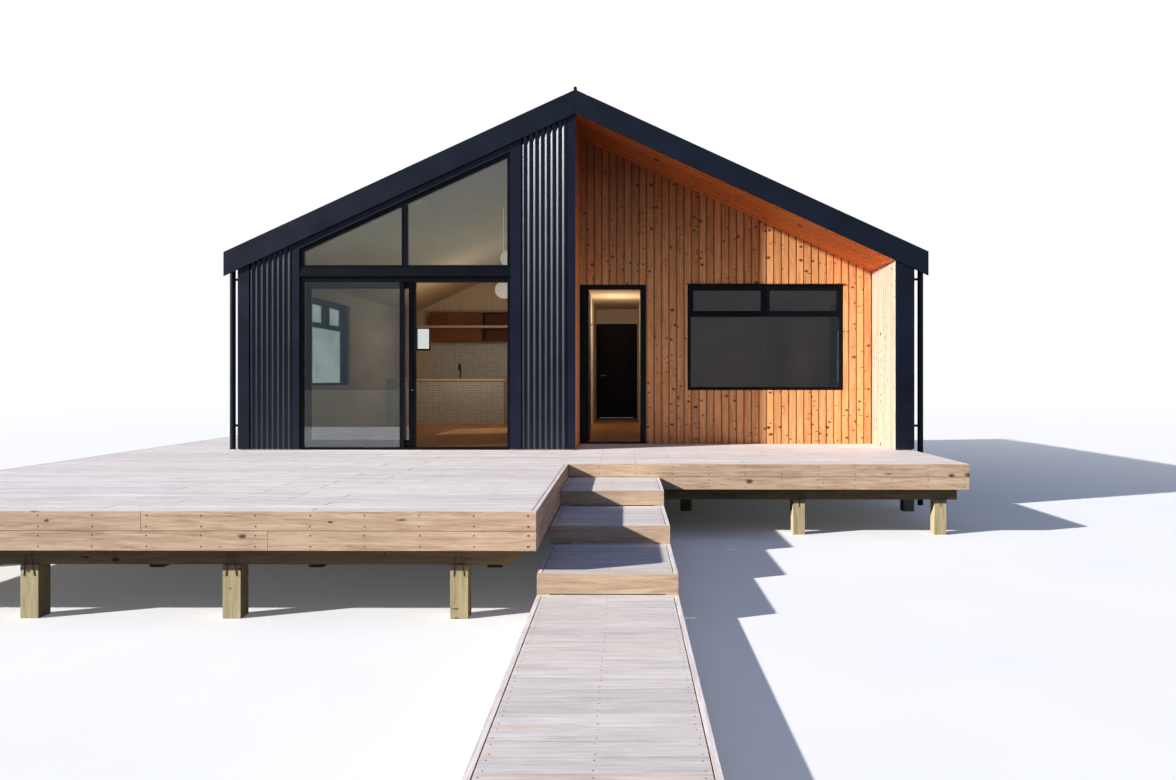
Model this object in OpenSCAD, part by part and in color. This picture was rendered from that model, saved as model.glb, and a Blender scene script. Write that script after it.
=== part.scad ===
// Beach house on timber piles: gabled, clad in corrugated steel, with a timber-lined
// porch recess, a wide sliding door, timber decks, broad steps and a boardwalk.
// x runs along the front wall, y goes back into the house, z is up from the ground.
// The origin is the foot of the middle pile under the front wall, below the ridge.

/* [House body] */
// Width over the wall framing
house_w = 8890; // [8600:10:9600]
// Depth over the wall framing
house_d = 8600; // [8300:10:9600]
// Thickness of the outer walls with their inner lining
wall_t = 140; // [110:5:180]
// Height of floor and decks above the ground
floor_z = 800; // [720:10:1100]
// Height of the roof framing's underside at the ridge, above the floor
ridge_h = 4450; // [4380:10:4900]
// Roof pitch in degrees
roof_pitch = 24.7; // [23.5:0.1:25.5]
// Thickness of the roof framing, square to the slope
roof_t = 244; // [180:2:300]
// How far the roof framing stands out past the front and back walls
verge_out = 25; // [22:1:60]

/* [Corrugated steel] */
// Pitch of the corrugations
wave_pitch = 76.2; // [60:0.1:100]
// Depth of the corrugations
wave_d = 18; // [12:1:26]
// Thickness of the steel sheet
sheet_t = 2; // [1.5:0.5:3]
// Flat facets that make one corrugation
wave_steps = 4; // [4:4:12]
// Height of the front cladding's edge above the deck
clad_lift = 12; // [8:1:30]
// How far the side cladding drops below the floor's top
clad_drop = 240; // [100:10:300]

/* [Flashings and gutters] */
// Width of the corner flashings
corner_w = 150; // [100:5:200]
// Width of the flashing left of the wide window
jamb_left_w = 92; // [80:2:200]
// Width of the flashing right of the wide window
jamb_right_w = 145; // [100:5:200]
// Width of the flashing on the porch corner of the pier
pier_corner_w = 105; // [80:5:140]
// Thickness of folded flashing steel
flash_t = 3; // [2:0.5:5]
// Thickness of the barge boards
barge_t = 25; // [18:1:40]
// How far the barge boards run past the side walls' cladding
barge_end = 175; // [165:5:200]
// Width of the barge boards' fold over the roof sheets
barge_fold = 90; // [60:5:150]
// Width of each wing of the ridge cap
ridge_wing = 170; // [120:5:240]
// Radius of the roll along the ridge cap
ridge_roll_r = 22; // [15:1:30]
// Width of the gutters
gutter_w = 155; // [150:1:160]
// Depth of the gutters
gutter_d = 110; // [80:5:140]
// How far the roof sheets reach over the gutters
sheet_over = 45; // [30:5:60]
// Radius of the downpipes
pipe_r = 37; // [30:1:42]
// Distance of the downpipes behind the front wall face
pipe_y = 90; // [60:5:200]
// Height of the downpipes' foot above the ground
pipe_foot = 60; // [40:5:150]
// Distance of the downpipes' straps from gutter and deck
pipe_strap = 300; // [200:10:500]

/* [Porch recess] */
// Depth of the recess from the front wall face to its lining
porch_d = 1050; // [900:10:1300]
// Width of the wall end right of the recess
porch_end_w = 245; // [230:5:320]
// Thickness of the timber lining
lining_t = 20; // [12:1:30]
// Thickness of the soffit boards, square to the slope
soffit_t = 18; // [12:1:30]
// Thickness of the wall between living room and recess
pier_wall_t = 120; // [90:5:160]

/* [Wide sliding door] */
// Distance of the wide opening from the wall framing's left end
slider_left = 795; // [760:5:920]
// Width of the wide opening
slider_w = 2790; // [2600:10:2840]
// Depth of all window and door frames
frame_d = 110; // [104:2:120]
// Face width of the frame's jambs
slider_jamb = 40; // [30:2:60]
// Height of the frame's head
slider_head = 65; // [45:5:90]
// Height of the frame's sill
slider_sill = 30; // [20:2:45]
// How far the sliding leaf is wider than half the clear opening
leaf_lap = 105; // [80:5:130]
// Thickness of the sliding leaf
leaf_t = 42; // [36:1:46]
// Gap all round the sliding leaf
leaf_gap = 6; // [5:0.5:8]
// Face width of the leaf's leading stile
lead_stile = 92; // [70:2:110]
// Face width of the leaf's trailing stile
trail_stile = 60; // [45:5:80]
// Height of the leaf's top rail
top_rail = 76; // [60:2:100]
// Height of the leaf's bottom rail
bottom_rail = 88; // [60:2:120]
// Width of the fixed pane's meeting stile
meet_stile = 62; // [50:2:80]
// Distance of the leaf from the left jamb when it stands open
leaf_open_gap = 23; // [10:1:40]
// Length of the leaf's pull
pull_l = 260; // [180:10:400]
// Width of the leaf's pull
pull_w = 24; // [18:1:30]
// How far the pull stands out
pull_out = 34; // [28:1:40]
// Thickness of the pull's bar
pull_bar = 12; // [8:1:14]
// Height of the pull's foot above the floor
pull_z = 880; // [800:10:1000]

/* [Gable window] */
// Height of the band between sliding door and gable window
band_h = 115; // [90:5:160]
// Height of the gable window at its low side
gable_low_h = 255; // [200:5:330]
// Vertical depth of the raked wall strip over the gable window
head_strip = 116; // [90:2:160]
// Face width of the gable window's frame
gable_frame = 42; // [34:2:60]
// Face width of the gable window's mullion
gable_mullion = 72; // [50:2:90]
// How far the mullion's middle stands left of the opening's middle
mullion_shift = -10; // [-200:5:200]
// Thickness of the glass
glass_t = 10; // [6:1:14]
// Depth of the groove that holds the glass
glass_bite = 10; // [5:1:14]

/* [Hinged doors] */
// Width of the hinged doors' frames
door_w = 955; // [900:5:990]
// Height of the entry door's frame
door_h = 2300; // [2150:5:2320]
// Height of the back door's frame
back_door_h = 2220; // [2100:5:2300]
// Face width of the door frames
door_jamb = 68; // [50:2:80]
// Height of the door frames' head
door_head = 58; // [45:1:75]
// Width of the stop that the leaf closes on
door_stop = 12; // [8:1:16]
// Height of the door sills
door_sill = 25; // [18:1:30]
// Thickness of the hinged leaves
door_leaf_t = 45; // [38:1:48]
// Distance of the outer hinges from the frame's ends
hinge_end = 275; // [200:5:350]
// Gap between leaf and frame
door_gap = 5; // [5:0.5:8]
// Height of the lever handles above the floor
lever_z = 1020; // [900:10:1100]
// Left edge of the back door's frame
back_door_x = -15; // [-20:5:0]

/* [Windows] */
// Distance of the porch window from the recess's right side
porch_win_side = 415; // [350:5:600]
// Width of the porch window
porch_win_w = 2245; // [2000:5:2300]
// Wall left over the porch window's low corner, below the roof framing
porch_win_top = 402; // [350:2:500]
// Height of the porch window's sill above the floor
porch_win_z = 775; // [740:5:900]
// Face width of the window frames
win_frame = 45; // [36:1:60]
// Face width of the opening sashes
sash_w = 38; // [30:1:50]
// How far the sashes stand out of their frame
sash_out = 8; // [4:1:15]
// Height of the row of opening sashes
sash_row = 372; // [300:2:420]
// Distance of the side windows from the front
side_win_y = 2200; // [1900:10:2600]
// Width of the side windows
side_win_w = 1800; // [1500:10:2000]
// Height of the side windows
side_win_h = 1420; // [1200:10:1480]
// Wall left over the side windows below the roof
side_lintel = 150; // [130:5:200]
// Width of the kitchen window
kitchen_win_w = 380; // [300:10:420]
// Height of the kitchen window
kitchen_win_h = 560; // [500:10:700]
// Wall left over the kitchen window's low corner, below the roof framing
kitchen_win_top = 332; // [250:2:400]
// Distance of the kitchen window from the left wall's inner face
kitchen_win_x = 40; // [30:5:100]
// Right edge of the back bedroom window
back_win_x = 2020; // [1950:10:3900]
// Width of the back bedroom window
back_win_w = 900; // [600:10:900]

/* [Rooms] */
// Thickness of the hall's partitions
partition_t = 120; // [90:5:150]
// Clear width of the hall
hall_w = 980; // [960:10:1300]
// Height of the hall's flat ceiling above the floor
hall_ceiling_h = 2560; // [2450:10:2700]
// Thickness of the ceiling linings
ceiling_t = 12; // [9:1:20]
// Distance from the front wall to the inner doorways
inner_door_y = 5600; // [4800:50:6000]
// Width of the inner doorways
inner_door_w = 880; // [760:10:1000]
// Height of the inner doorways
inner_door_h = 2060; // [1980:10:2150]

/* [Kitchen] */
// Distance of the bench's tiled front from the front wall
bench_y = 6350; // [6300:10:6600]
// Length of the bench
bench_l = 2440; // [2000:20:2800]
// Depth of the bench
bench_d = 700; // [600:10:800]
// Height of the bench
bench_h = 935; // [880:5:960]
// Thickness of the benchtop
bench_top_t = 40; // [20:2:60]
// Distance of the tap from the left wall
tap_x = 1420; // [1000:20:1800]
// Height of the tap's straight stem
tap_h = 250; // [180:5:320]
// Bend radius of the tap's spout
tap_bend = 80; // [50:5:110]
// Drop of the spout's end
tap_drop = 70; // [20:5:120]
// Radius of the tap's tube
tap_r = 13; // [9:1:18]
// Distance of the wall cupboards from the left wall
cupboard_x = 490; // [460:10:600]
// Width of the wall cupboards with doors
cupboard_w = 1190; // [900:10:1300]
// Width of the open shelf bay
open_bay_w = 620; // [400:10:700]
// Depth of the wall cupboards
cupboard_d = 350; // [300:5:400]
// Wall left over the cupboards' low corner, below the roof framing
cupboard_top = 229; // [180:1:300]
// Height of each row of cupboards
cupboard_row = 310; // [260:5:330]
// Thickness of the long shelf
shelf_t = 50; // [30:2:60]
// Depth of the long shelf
shelf_d = 420; // [380:5:460]
// Thickness of the cupboard boards
board_side = 18; // [12:1:24]
// Radius of the globe lights
globe_r = 145; // [100:5:180]
// Height of the low globe's middle above the floor
globe_low = 2420; // [2350:10:2500]
// Distance of the low globe from the front wall
globe_low_y = 2900; // [2500:50:3200]
// Height of the high globe's middle above the floor
globe_high = 3030; // [2900:10:3100]
// Distance of the high globe from the front wall
globe_high_y = 3500; // [3200:50:4000]
// Distance of the globes left of the ridge
globe_x = 1370; // [1200:10:1600]

/* [Piles and floor framing] */
// Side of the square house piles
pile_s = 140; // [120:5:180]
// House piles along the front wall, an odd number
pile_cols = 7; // [5:2:9]
// House piles from front to back
pile_rows = 6; // [5:1:7]
// Height of the bearers
bearer_h = 190; // [140:5:220]
// Width of the bearers
bearer_w = 90; // [70:5:120]
// Height of the joists
joist_h = 190; // [140:5:220]
// Width of the joists
joist_w = 45; // [35:1:60]
// Spacing of the joists
joist_pitch = 400; // [350:10:600]
// Thickness of decking and flooring
board_t = 32; // [22:1:40]

/* [Decks] */
// How far the wide deck runs past the left wall
deck_side = 1270; // [1000:10:1500]
// How far the wide deck stands out in front
deck_front = 5160; // [4900:20:5400]
// Right edge of the wide deck
deck_x1 = 30; // [10:5:60]
// How far the narrow deck stands out in front
narrow_front = 1860; // [1700:10:1950]
// How far the side strip of the deck runs back
strip_back = 3000; // [2700:10:3400]
// Height of the fascia boards, two boards deep
fascia_h = 280; // [240:5:300]
// Thickness of the fascia boards
fascia_t = 32; // [25:1:40]
// Gap between decking, fascia and walls
deck_gap = 5; // [4:0.5:8]
// Side of the square deck posts
post_s = 130; // [100:5:150]
// Spacing of the deck posts
post_pitch = 1575; // [1400:10:1600]
// Setback of the front bearers behind the fascia
bearer_back = 210; // [170:5:300]

/* [Steps and boardwalk] */
// Width of the steps and the boardwalk
step_w = 1000; // [850:10:1200]
// Number of broad steps
step_count = 3; // [3:1:3]
// Height of one riser
riser = 147; // [140:1:165]
// Height of the boards round steps and boardwalk
step_board = 140; // [130:1:140]
// Side of the steps' legs
leg_s = 90; // [70:5:110]
// Length of the boardwalk
walk_l = 3600; // [2400:100:5400]
// Spacing of the sleepers under the boardwalk
sleeper_pitch = 870; // [600:10:1200]
// Width of the sleepers
sleeper_w = 120; // [90:5:150]

/* [Hidden] */
$fn = 32;
hw = house_w / 2;
rake = tan(roof_pitch);
clad_t = wave_d + sheet_t;
face_x = hw + clad_t;
soffit_v = soffit_t / cos(roof_pitch);
roof_v = roof_t / cos(roof_pitch);
sheet_v = clad_t / cos(roof_pitch);
ceiling_v = ceiling_t / cos(roof_pitch);
fold_v = flash_t / cos(roof_pitch);
barge_x = face_x + barge_end;
porch_w = face_x - porch_end_w;
slider_x = -hw + slider_left;
slider_x1 = slider_x + slider_w;
slider_h = ridge_h - abs(slider_x) * rake - head_strip - gable_low_h - band_h;
leaf_w = slider_w / 2 - slider_jamb + leaf_lap;
porch_win_x = porch_w - porch_win_side - porch_win_w;
porch_win_h = ridge_h - (porch_win_x + porch_win_w) * rake - porch_win_top - porch_win_z;
cupboard_z = ridge_h - (hw - wall_t - cupboard_x) * rake - cupboard_top - 2 * cupboard_row - shelf_t;
kitchen_win_z = ridge_h - (hw - wall_t - kitchen_win_x) * rake - kitchen_win_top - kitchen_win_h;
band_z = floor_z + slider_h;
gable_z = band_z + band_h;
gable_sill = gable_frame;
mullion_x = slider_x + slider_w / 2 + mullion_shift;
leaf_h = slider_h - slider_sill - slider_head - 2 * leaf_gap;
leaf_x = slider_x + slider_jamb + leaf_open_gap;
leaf_z = floor_z + slider_sill + leaf_gap;
meet_back = 10;
meet_clear = 8;
meet_lap = 30;
meet_t = frame_d / 2 - meet_back;
leaf_y = meet_t + meet_clear + leaf_gap / 2;
meet_x = slider_x1 - slider_jamb - leaf_w + meet_lap;
glass_y = 28;
rail_w = 10;
porch_face = porch_d;
porch_core = porch_d + lining_t;
porch_back = porch_core + wall_t;
pier_x = -lining_t - pier_wall_t;
joist_top = floor_z - board_t;
joist_z = joist_top - joist_h;
bearer_z = joist_z - bearer_h;
deck_x0 = -face_x - deck_side;
deck_y0 = -deck_front;
narrow_y0 = -narrow_front;
narrow_in = 65;
narrow_x1 = face_x - narrow_in;
step_go = (deck_front - narrow_front) / step_count;
walk_z = floor_z - (step_count + 1) * riser;
hall_x0 = -lining_t;
hall_x1 = hall_x0 + hall_w;
room_y1 = house_d - wall_t;
wall_in = hw - wall_t;
side_win_z = floor_z + ridge_h - face_x * rake - side_lintel - side_win_h;
door_leaf_w = door_w - 2 * door_jamb - 2 * door_gap - 2;
seat = 0.3;
pin_in = door_gap / 2;
leaf_set = 2;
pin_out = 5;
hinge_r = 5;
hinge_l = 102;
hinge_leaf = 12;
hinge_plate = 30;
hinge_plate_t = 4;
stop_t = 8;
lever_in = 55;
rose_r = 26;
rose_t = 9;
lever_r = 9;
lever_neck = 52;
lever_y = 45;
lever_l = 130;
gutter_drop = 10;
gutter_low = 30;
gutter_bead = 12;
pipe_gap = gutter_w - 2 * pipe_r - flash_t;
strap_w = 28;
strap_h = 30;
head_out = 24;
head_fall = 4;
head_h = 12;
band_toe = 6;
win_head_in = 20;
win_head_h = 14;
bench_over = 12;
bench_kick = 60;
tap_in = 110;
shelf_over = 40;
splash_t = 12;
step_gap = 3;
bearer_in = 50;
bearer_end_in = 60;
bearer_narrow_in = 40;
bearer_splay = 0.7;
post_first = 575;
post_narrow = 230;
post_strip = 150;
post_runs = [0, 1650, 3120, 4695];
sleeper_in = 40;
pipe_slot = 8;
pipe_free = 25;
glass_front = 12;
floor_pitch_more = 50;
barge_bite = 5;

// Height of the roof framing's underside over a place along the front
function roof_z(x) = floor_z + ridge_h - abs(x) * rake;
// Height of one corner of the faceted corrugation
function wave_z(i) = wave_d / 2 * (1 - cos(360 * (i + 0.5) / wave_steps) / cos(180 / wave_steps));
// Whole corrugations that fill a run
function wave_count(run) = round(run / wave_pitch);
// Even places from one end of a run to the other
function spread(a, b, n) = [for (i = [0 : n]) a + (b - a) * i / n];
// Heights of a door's hinges
function hinge_z(h) = [hinge_end, h / 2, h - hinge_end];
// Parts of a run that keep near a wanted spacing
function parts(run, pitch) = max(1, round(run / pitch));

// Outline of a corrugated sheet along a run, its inner side on zero
module wave_outline(run) {
    n = wave_count(run) * wave_steps;
    step = run / n;
    low = [for (i = [0 : n - 1]) [(i + 0.5) * step, wave_z(i)]];
    high = [for (i = [n - 1 : -1 : 0]) [(i + 0.5) * step, wave_z(i) + sheet_t]];
    polygon(concat([[0, 0]], low, [[run, 0], [run, sheet_t]], high, [[0, sheet_t]]));
}

// Upright corrugated sheet along x, standing out towards -y from the plane y = 0
module wall_sheet(run, z0, z1) {
    translate([run, 0, z0]) rotate([0, 0, 180]) linear_extrude(z1 - z0) wave_outline(run);
}

// Outline in x and z, thickened along y
module slab_y(y0, y1) {
    translate([0, y1, 0]) rotate([90, 0, 0]) linear_extrude(y1 - y0) children();
}

// Outline in y and z, thickened along x
module slab_x(x0, x1) {
    translate([x0, 0, 0]) rotate([90, 0, 90]) linear_extrude(x1 - x0) children();
}

// Box from one corner to the other
module block(a, b) {
    translate(a) cube(b - a);
}

// Wall outline between two places, up to the roof framing less a drop
module raked(x0, x1, z0, drop = 0) {
    low = drop + seat;
    apex = x0 < 0 && x1 > 0 ? [[0, roof_z(0) - low]] : [];
    polygon(concat([[x0, z0], [x1, z0], [x1, roof_z(x1) - low]], apex, [[x0, roof_z(x0) - low]]));
}

// Window unit seen from outside: frame outline at y = 0, depth towards +y
module window_unit(w, h, cols, sashes) {
    light_w = (w - 2 * win_frame - (cols - 1) * win_frame) / cols;
    low_h = sashes ? h - 2 * win_frame - win_frame - sash_row : h - 2 * win_frame;
    difference() {
        union() {
            difference() {
                cube([w, frame_d, h]);
                translate([win_frame, -1, win_frame]) cube([w - 2 * win_frame, frame_d + 2, low_h]);
                if (sashes) for (c = [0 : cols - 1])
                    translate([win_frame + c * (light_w + win_frame), -1, h - win_frame - sash_row])
                        cube([light_w, frame_d + 2, sash_row]);
            }
            if (sashes) for (c = [0 : cols - 1])
                translate([win_frame + c * (light_w + win_frame), -sash_out, h - win_frame - sash_row])
                    difference() {
                        cube([light_w, sash_out + glass_y + glass_t + glass_front, sash_row]);
                        translate([sash_w, -1, sash_w])
                            cube([light_w - 2 * sash_w, frame_d, sash_row - 2 * sash_w]);
                    }
        }
        window_unit_glass(w, h, cols, sashes);
    }
}

// Panes of a window unit, each let into the groove of its frame
module window_unit_glass(w, h, cols, sashes) {
    light_w = (w - 2 * win_frame - (cols - 1) * win_frame) / cols;
    low_h = sashes ? h - 2 * win_frame - win_frame - sash_row : h - 2 * win_frame;
    b = glass_bite;
    translate([win_frame - b, glass_y, win_frame - b])
        cube([w - 2 * win_frame + 2 * b, glass_t, low_h + 2 * b]);
    if (sashes) for (c = [0 : cols - 1])
        translate([win_frame + c * (light_w + win_frame) + sash_w - b, glass_y,
                   h - win_frame - sash_row + sash_w - b])
            cube([light_w - 2 * sash_w + 2 * b, glass_t, sash_row - 2 * sash_w + 2 * b]);
}

// Places of the windows on the left, right and back walls
module at_left_window() {
    translate([-face_x, side_win_y + side_win_w, side_win_z]) rotate([0, 0, -90]) children();
}
module at_right_window() {
    translate([face_x, side_win_y, side_win_z]) rotate([0, 0, 90]) children();
}
module at_back_window() {
    translate([back_win_x, house_d + clad_t, side_win_z]) rotate([0, 0, 180]) children();
}
module at_kitchen_window() {
    translate([-wall_in + kitchen_win_x + kitchen_win_w, house_d + clad_t, floor_z + kitchen_win_z])
        rotate([0, 0, 180]) children();
}

// Door frame seen from outside: outer face at y = 0, stops in front, leaf behind
module door_frame(h) {
    stop_y = frame_d - leaf_set - door_leaf_t - stop_t;
    difference() {
        cube([door_w, frame_d, h]);
        translate([door_jamb, stop_y, door_sill])
            cube([door_w - 2 * door_jamb, frame_d, h - door_sill - door_head]);
        translate([door_jamb + door_stop, -1, door_sill])
            cube([door_w - 2 * door_jamb - 2 * door_stop, frame_d, h - door_sill - door_head - door_stop]);
    }
    translate([door_jamb + pin_in, frame_d + pin_out, 0])
        for (z = hinge_z(h), k = [-1, 1]) translate([0, 0, z + k * hinge_l / 3 - hinge_l / 6]) {
            cylinder(r = hinge_r, h = hinge_l / 3 - seat);
            translate([-hinge_leaf, -pin_out, 0]) cube([hinge_leaf, pin_out + leaf_set, hinge_l / 3 - seat]);
        }
}

// Shut door leaf seen from inside the hinge pin: the pin is the z axis, the leaf runs along x
module door_leaf(h) {
    leaf_z0 = door_sill + door_gap + 1;
    leaf_z1 = h - door_head - door_gap;
    panel_in = 110;
    panel_deep = 5;
    translate([pin_in, -pin_out - leaf_set, 0]) difference() {
        translate([0, -door_leaf_t, leaf_z0]) cube([door_leaf_w, door_leaf_t, leaf_z1 - leaf_z0]);
        for (y = [-door_leaf_t - 1, -panel_deep])
            translate([panel_in, y, leaf_z0 + panel_in])
                cube([door_leaf_w - 2 * panel_in, panel_deep + 1, leaf_z1 - leaf_z0 - 2 * panel_in]);
    }
    for (z = hinge_z(h)) translate([0, 0, z - hinge_l / 6]) {
        cylinder(r = hinge_r, h = hinge_l / 3 - seat);
        translate([0, -pin_out - leaf_set, 0]) cube([hinge_plate, hinge_plate_t, hinge_l / 3 - seat]);
    }
}

// Both levers of a door leaf
module door_levers() {
    lever(-pin_out - leaf_set, 1);
    lever(-pin_out - leaf_set - door_leaf_t, -1);
}

// Lever handle on one face of a hinged leaf
module lever(y, side) {
    translate([door_leaf_w - lever_in, y, lever_z]) mirror([0, side < 0 ? 1 : 0, 0]) {
        rotate([-90, 0, 0]) cylinder(r = rose_r, h = rose_t);
        rotate([-90, 0, 0]) cylinder(r = lever_r, h = lever_neck);
        translate([lever_r, lever_y, 0]) rotate([0, -90, 0]) cylinder(r = lever_r, h = lever_l);
    }
}

// Platform of a boarded step: rim boards, tread and joists
module platform(x0, x1, y0, y1, top) {
    rim_z = top - step_board;
    difference() {
        block([x0, y0, rim_z], [x1, y1, top]);
        block([x0 + fascia_t, y0 + fascia_t, rim_z - 1], [x1 - fascia_t, y1 - fascia_t, top + 1]);
    }
    g = fascia_t + deck_gap;
    block([x0 + g, y0 + g, top - board_t], [x1 - g, y1 - g, top]);
    for (x = spread(x0 + fascia_t, x1 - fascia_t - joist_w, 2))
        block([x, y0 + fascia_t, rim_z], [x + joist_w, y1 - fascia_t, top - board_t]);
}

// Half of the roof, right of the ridge; the left half is its mirror
module roof_half() {
    top = roof_v - seat;
    slab_y(-verge_out, house_d + verge_out)
        polygon([[0, roof_z(0)], [face_x, roof_z(face_x)], [face_x, roof_z(face_x) + top],
                 [0, roof_z(0) + top]]);
}

// Raked band between two places on the right slope, its edges given above the framing's underside
module rake_band(x0, x1, low, high, y0, y1) {
    slab_y(y0, y1)
        polygon([[x0, roof_z(x0) + low], [x1, roof_z(x1) + low], [x1, roof_z(x1) + high],
                 [x0, roof_z(x0) + high]]);
}

// Barge boards of one gable, met at the ridge; inner is the plane of the roof framing's end
module barge(inner, outer) {
    crest = roof_v + sheet_v;
    top = crest + fold_v + 1;
    joint = 1;
    way = inner > outer ? 1 : -1;
    bite = inner - barge_bite * way;
    back = inner + way * (barge_fold - barge_t);
    fold_x = ridge_wing;
    for (side = [0, 1]) mirror([side, 0, 0]) {
        slab_y(min(inner, outer), max(inner, outer))
            polygon([[joint, roof_z(joint) - soffit_v], [barge_x, roof_z(barge_x) - soffit_v],
                     [barge_x, roof_z(barge_x) + top], [fold_x, roof_z(fold_x) + top],
                     [fold_x, roof_z(fold_x) + crest], [joint, roof_z(joint) + crest]]);
        rake_band(fold_x, face_x + sheet_over * cos(roof_pitch), crest + seat, crest + fold_v,
                  min(bite, back), max(bite, back));
    }
}

module piles() color("tan") {
    row_step = (house_d - bearer_w / 2) / (pile_rows - 1);
    for (x = spread(-hw + pile_s / 2, hw - pile_s / 2, pile_cols - 1), k = [0 : pile_rows - 1])
        translate([x - pile_s / 2, k * row_step - pile_s / 2, 0]) cube([pile_s, pile_s, bearer_z]);
}

module floor_bearers() color("peru") {
    row_step = (house_d - bearer_w / 2) / (pile_rows - 1);
    for (k = [0 : pile_rows - 1])
        block([-hw, k * row_step - bearer_w / 2, bearer_z], [hw, k * row_step + bearer_w / 2, joist_z]);
}

module floor_joists() color("burlywood") {
    for (x = spread(-hw, hw - joist_w, parts(house_w, joist_pitch + floor_pitch_more)))
        block([x, 0, joist_z], [x + joist_w, house_d, joist_top]);
}

module floor() color("sienna") {
    translate([0, 0, joist_top]) linear_extrude(board_t)
        polygon([[-hw, 0], [0, 0], [0, porch_face], [porch_w, porch_face], [porch_w, 0], [hw, 0],
                 [hw, house_d], [-hw, house_d]]);
}

module front_wall() color("dimgray") {
    slab_y(0, wall_t) raked(-hw, slider_x, floor_z);
    slab_y(0, wall_t) raked(slider_x1, -lining_t, floor_z);
}

module gable_head_wall() color("dimgray") {
    slab_y(0, wall_t)
        polygon([[slider_x, roof_z(slider_x) - head_strip], [slider_x1, roof_z(slider_x1) - head_strip],
                 [slider_x1, roof_z(slider_x1) - seat], [slider_x, roof_z(slider_x) - seat]]);
}

module left_wall() color("dimgray") {
    difference() {
        slab_y(wall_t, room_y1) raked(-hw, -wall_in, floor_z);
        at_left_window() cube([side_win_w, clad_t + wall_t + 1, side_win_h]);
    }
}

module right_wall() color("dimgray") {
    slab_y(0, porch_back) raked(porch_w + lining_t, hw, floor_z);
    difference() {
        slab_y(porch_back, room_y1) raked(wall_in, hw, floor_z);
        at_right_window() cube([side_win_w, clad_t + wall_t + 1, side_win_h]);
    }
}

module back_wall() color("dimgray") {
    difference() {
        slab_y(room_y1, house_d) raked(-hw, back_door_x, floor_z);
        at_kitchen_window() cube([kitchen_win_w, clad_t + wall_t + 1, kitchen_win_h]);
    }
    difference() {
        slab_y(room_y1, house_d) raked(back_door_x + door_w, hw, floor_z);
        at_back_window() cube([back_win_w, clad_t + wall_t + 1, side_win_h]);
    }
}

module back_gable_wall() color("dimgray") {
    slab_y(room_y1, house_d) raked(back_door_x, back_door_x + door_w, floor_z + back_door_h);
}

module porch_side_wall() color("dimgray") {
    slab_y(wall_t, porch_back) raked(pier_x, -lining_t, floor_z);
}

module porch_back_wall() color("dimgray") {
    difference() {
        slab_y(porch_core, porch_back) raked(door_w, porch_w + lining_t, floor_z);
        translate([porch_win_x, porch_face, floor_z + porch_win_z])
            cube([porch_win_w, lining_t + wall_t + 1, porch_win_h]);
    }
}

module porch_over_door_wall() color("dimgray") {
    slab_y(porch_core, porch_back) raked(0, door_w, floor_z + door_h);
}

module hall_walls() color("burlywood") {
    for (x0 = [hall_x0 - partition_t, hall_x1]) difference() {
        slab_y(porch_back, room_y1) raked(x0, x0 + partition_t, floor_z);
        block([x0 - 1, inner_door_y, floor_z - 1],
              [x0 + partition_t + 1, inner_door_y + inner_door_w, floor_z + inner_door_h]);
    }
}

module ceilings() color("wheat") {
    mirror([1, 0, 0])
        rake_band(max(-pier_x, partition_t - hall_x0), wall_in, -ceiling_v - seat, -seat, wall_t, room_y1);
    rake_band(hall_x1 + partition_t, wall_in, -ceiling_v - seat, -seat, porch_back, room_y1);
    block([hall_x0, porch_back, floor_z + hall_ceiling_h],
          [hall_x1, room_y1, floor_z + hall_ceiling_h + ceiling_t]);
}

module front_cladding() color("midnightblue") {
    z0 = floor_z + clad_lift;
    left_x = -face_x + corner_w;
    left_run = slider_x - jamb_left_w - left_x;
    right_x = slider_x1 + jamb_right_w;
    right_run = -pier_corner_w - right_x;
    intersection() {
        translate([left_x, 0, 0]) wall_sheet(left_run, z0, roof_z(left_x + left_run));
        slab_y(-clad_t - 1, 1) raked(-hw, 0, z0);
    }
    intersection() {
        translate([right_x, 0, 0]) wall_sheet(right_run, z0, roof_z(right_x + right_run));
        slab_y(-clad_t - 1, 1) raked(-hw, 0, z0);
    }
}

module side_cladding() color("midnightblue") {
    top = roof_z(face_x);
    y0 = corner_w - clad_t;
    y1 = house_d - corner_w + clad_t;
    split = y0 + parts(strip_back - y0, wave_pitch) * wave_pitch;
    difference() {
        union() {
            translate([-hw, split, 0]) rotate([0, 0, -90]) wall_sheet(split - y0, floor_z + clad_lift, top);
            translate([-hw, y1, 0]) rotate([0, 0, -90]) wall_sheet(y1 - split, floor_z - clad_drop, top);
        }
        at_left_window() translate([0, -1, 0]) cube([side_win_w, clad_t + 2, side_win_h]);
    }
    difference() {
        translate([hw, y0, 0]) rotate([0, 0, 90]) wall_sheet(y1 - y0, floor_z - clad_drop, top);
        at_right_window() translate([0, -1, 0]) cube([side_win_w, clad_t + 2, side_win_h]);
    }
}

module back_cladding() color("midnightblue") {
    half = face_x - corner_w;
    intersection() {
        translate([half, house_d, 0]) rotate([0, 0, 180])
            wall_sheet(2 * half, floor_z - clad_drop, roof_z(0));
        difference() {
            slab_y(house_d - 1, house_d + clad_t + 1) raked(-half, half, floor_z - clad_drop - 1);
            block([back_door_x, house_d - 2, floor_z - clad_drop - 2],
                  [back_door_x + door_w, house_d + clad_t + 2, floor_z + back_door_h]);
            at_kitchen_window() translate([0, -2, 0]) cube([kitchen_win_w, clad_t + 4, kitchen_win_h]);
            at_back_window() translate([0, -2, 0]) cube([back_win_w, clad_t + 4, side_win_h]);
        }
    }
}

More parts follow.
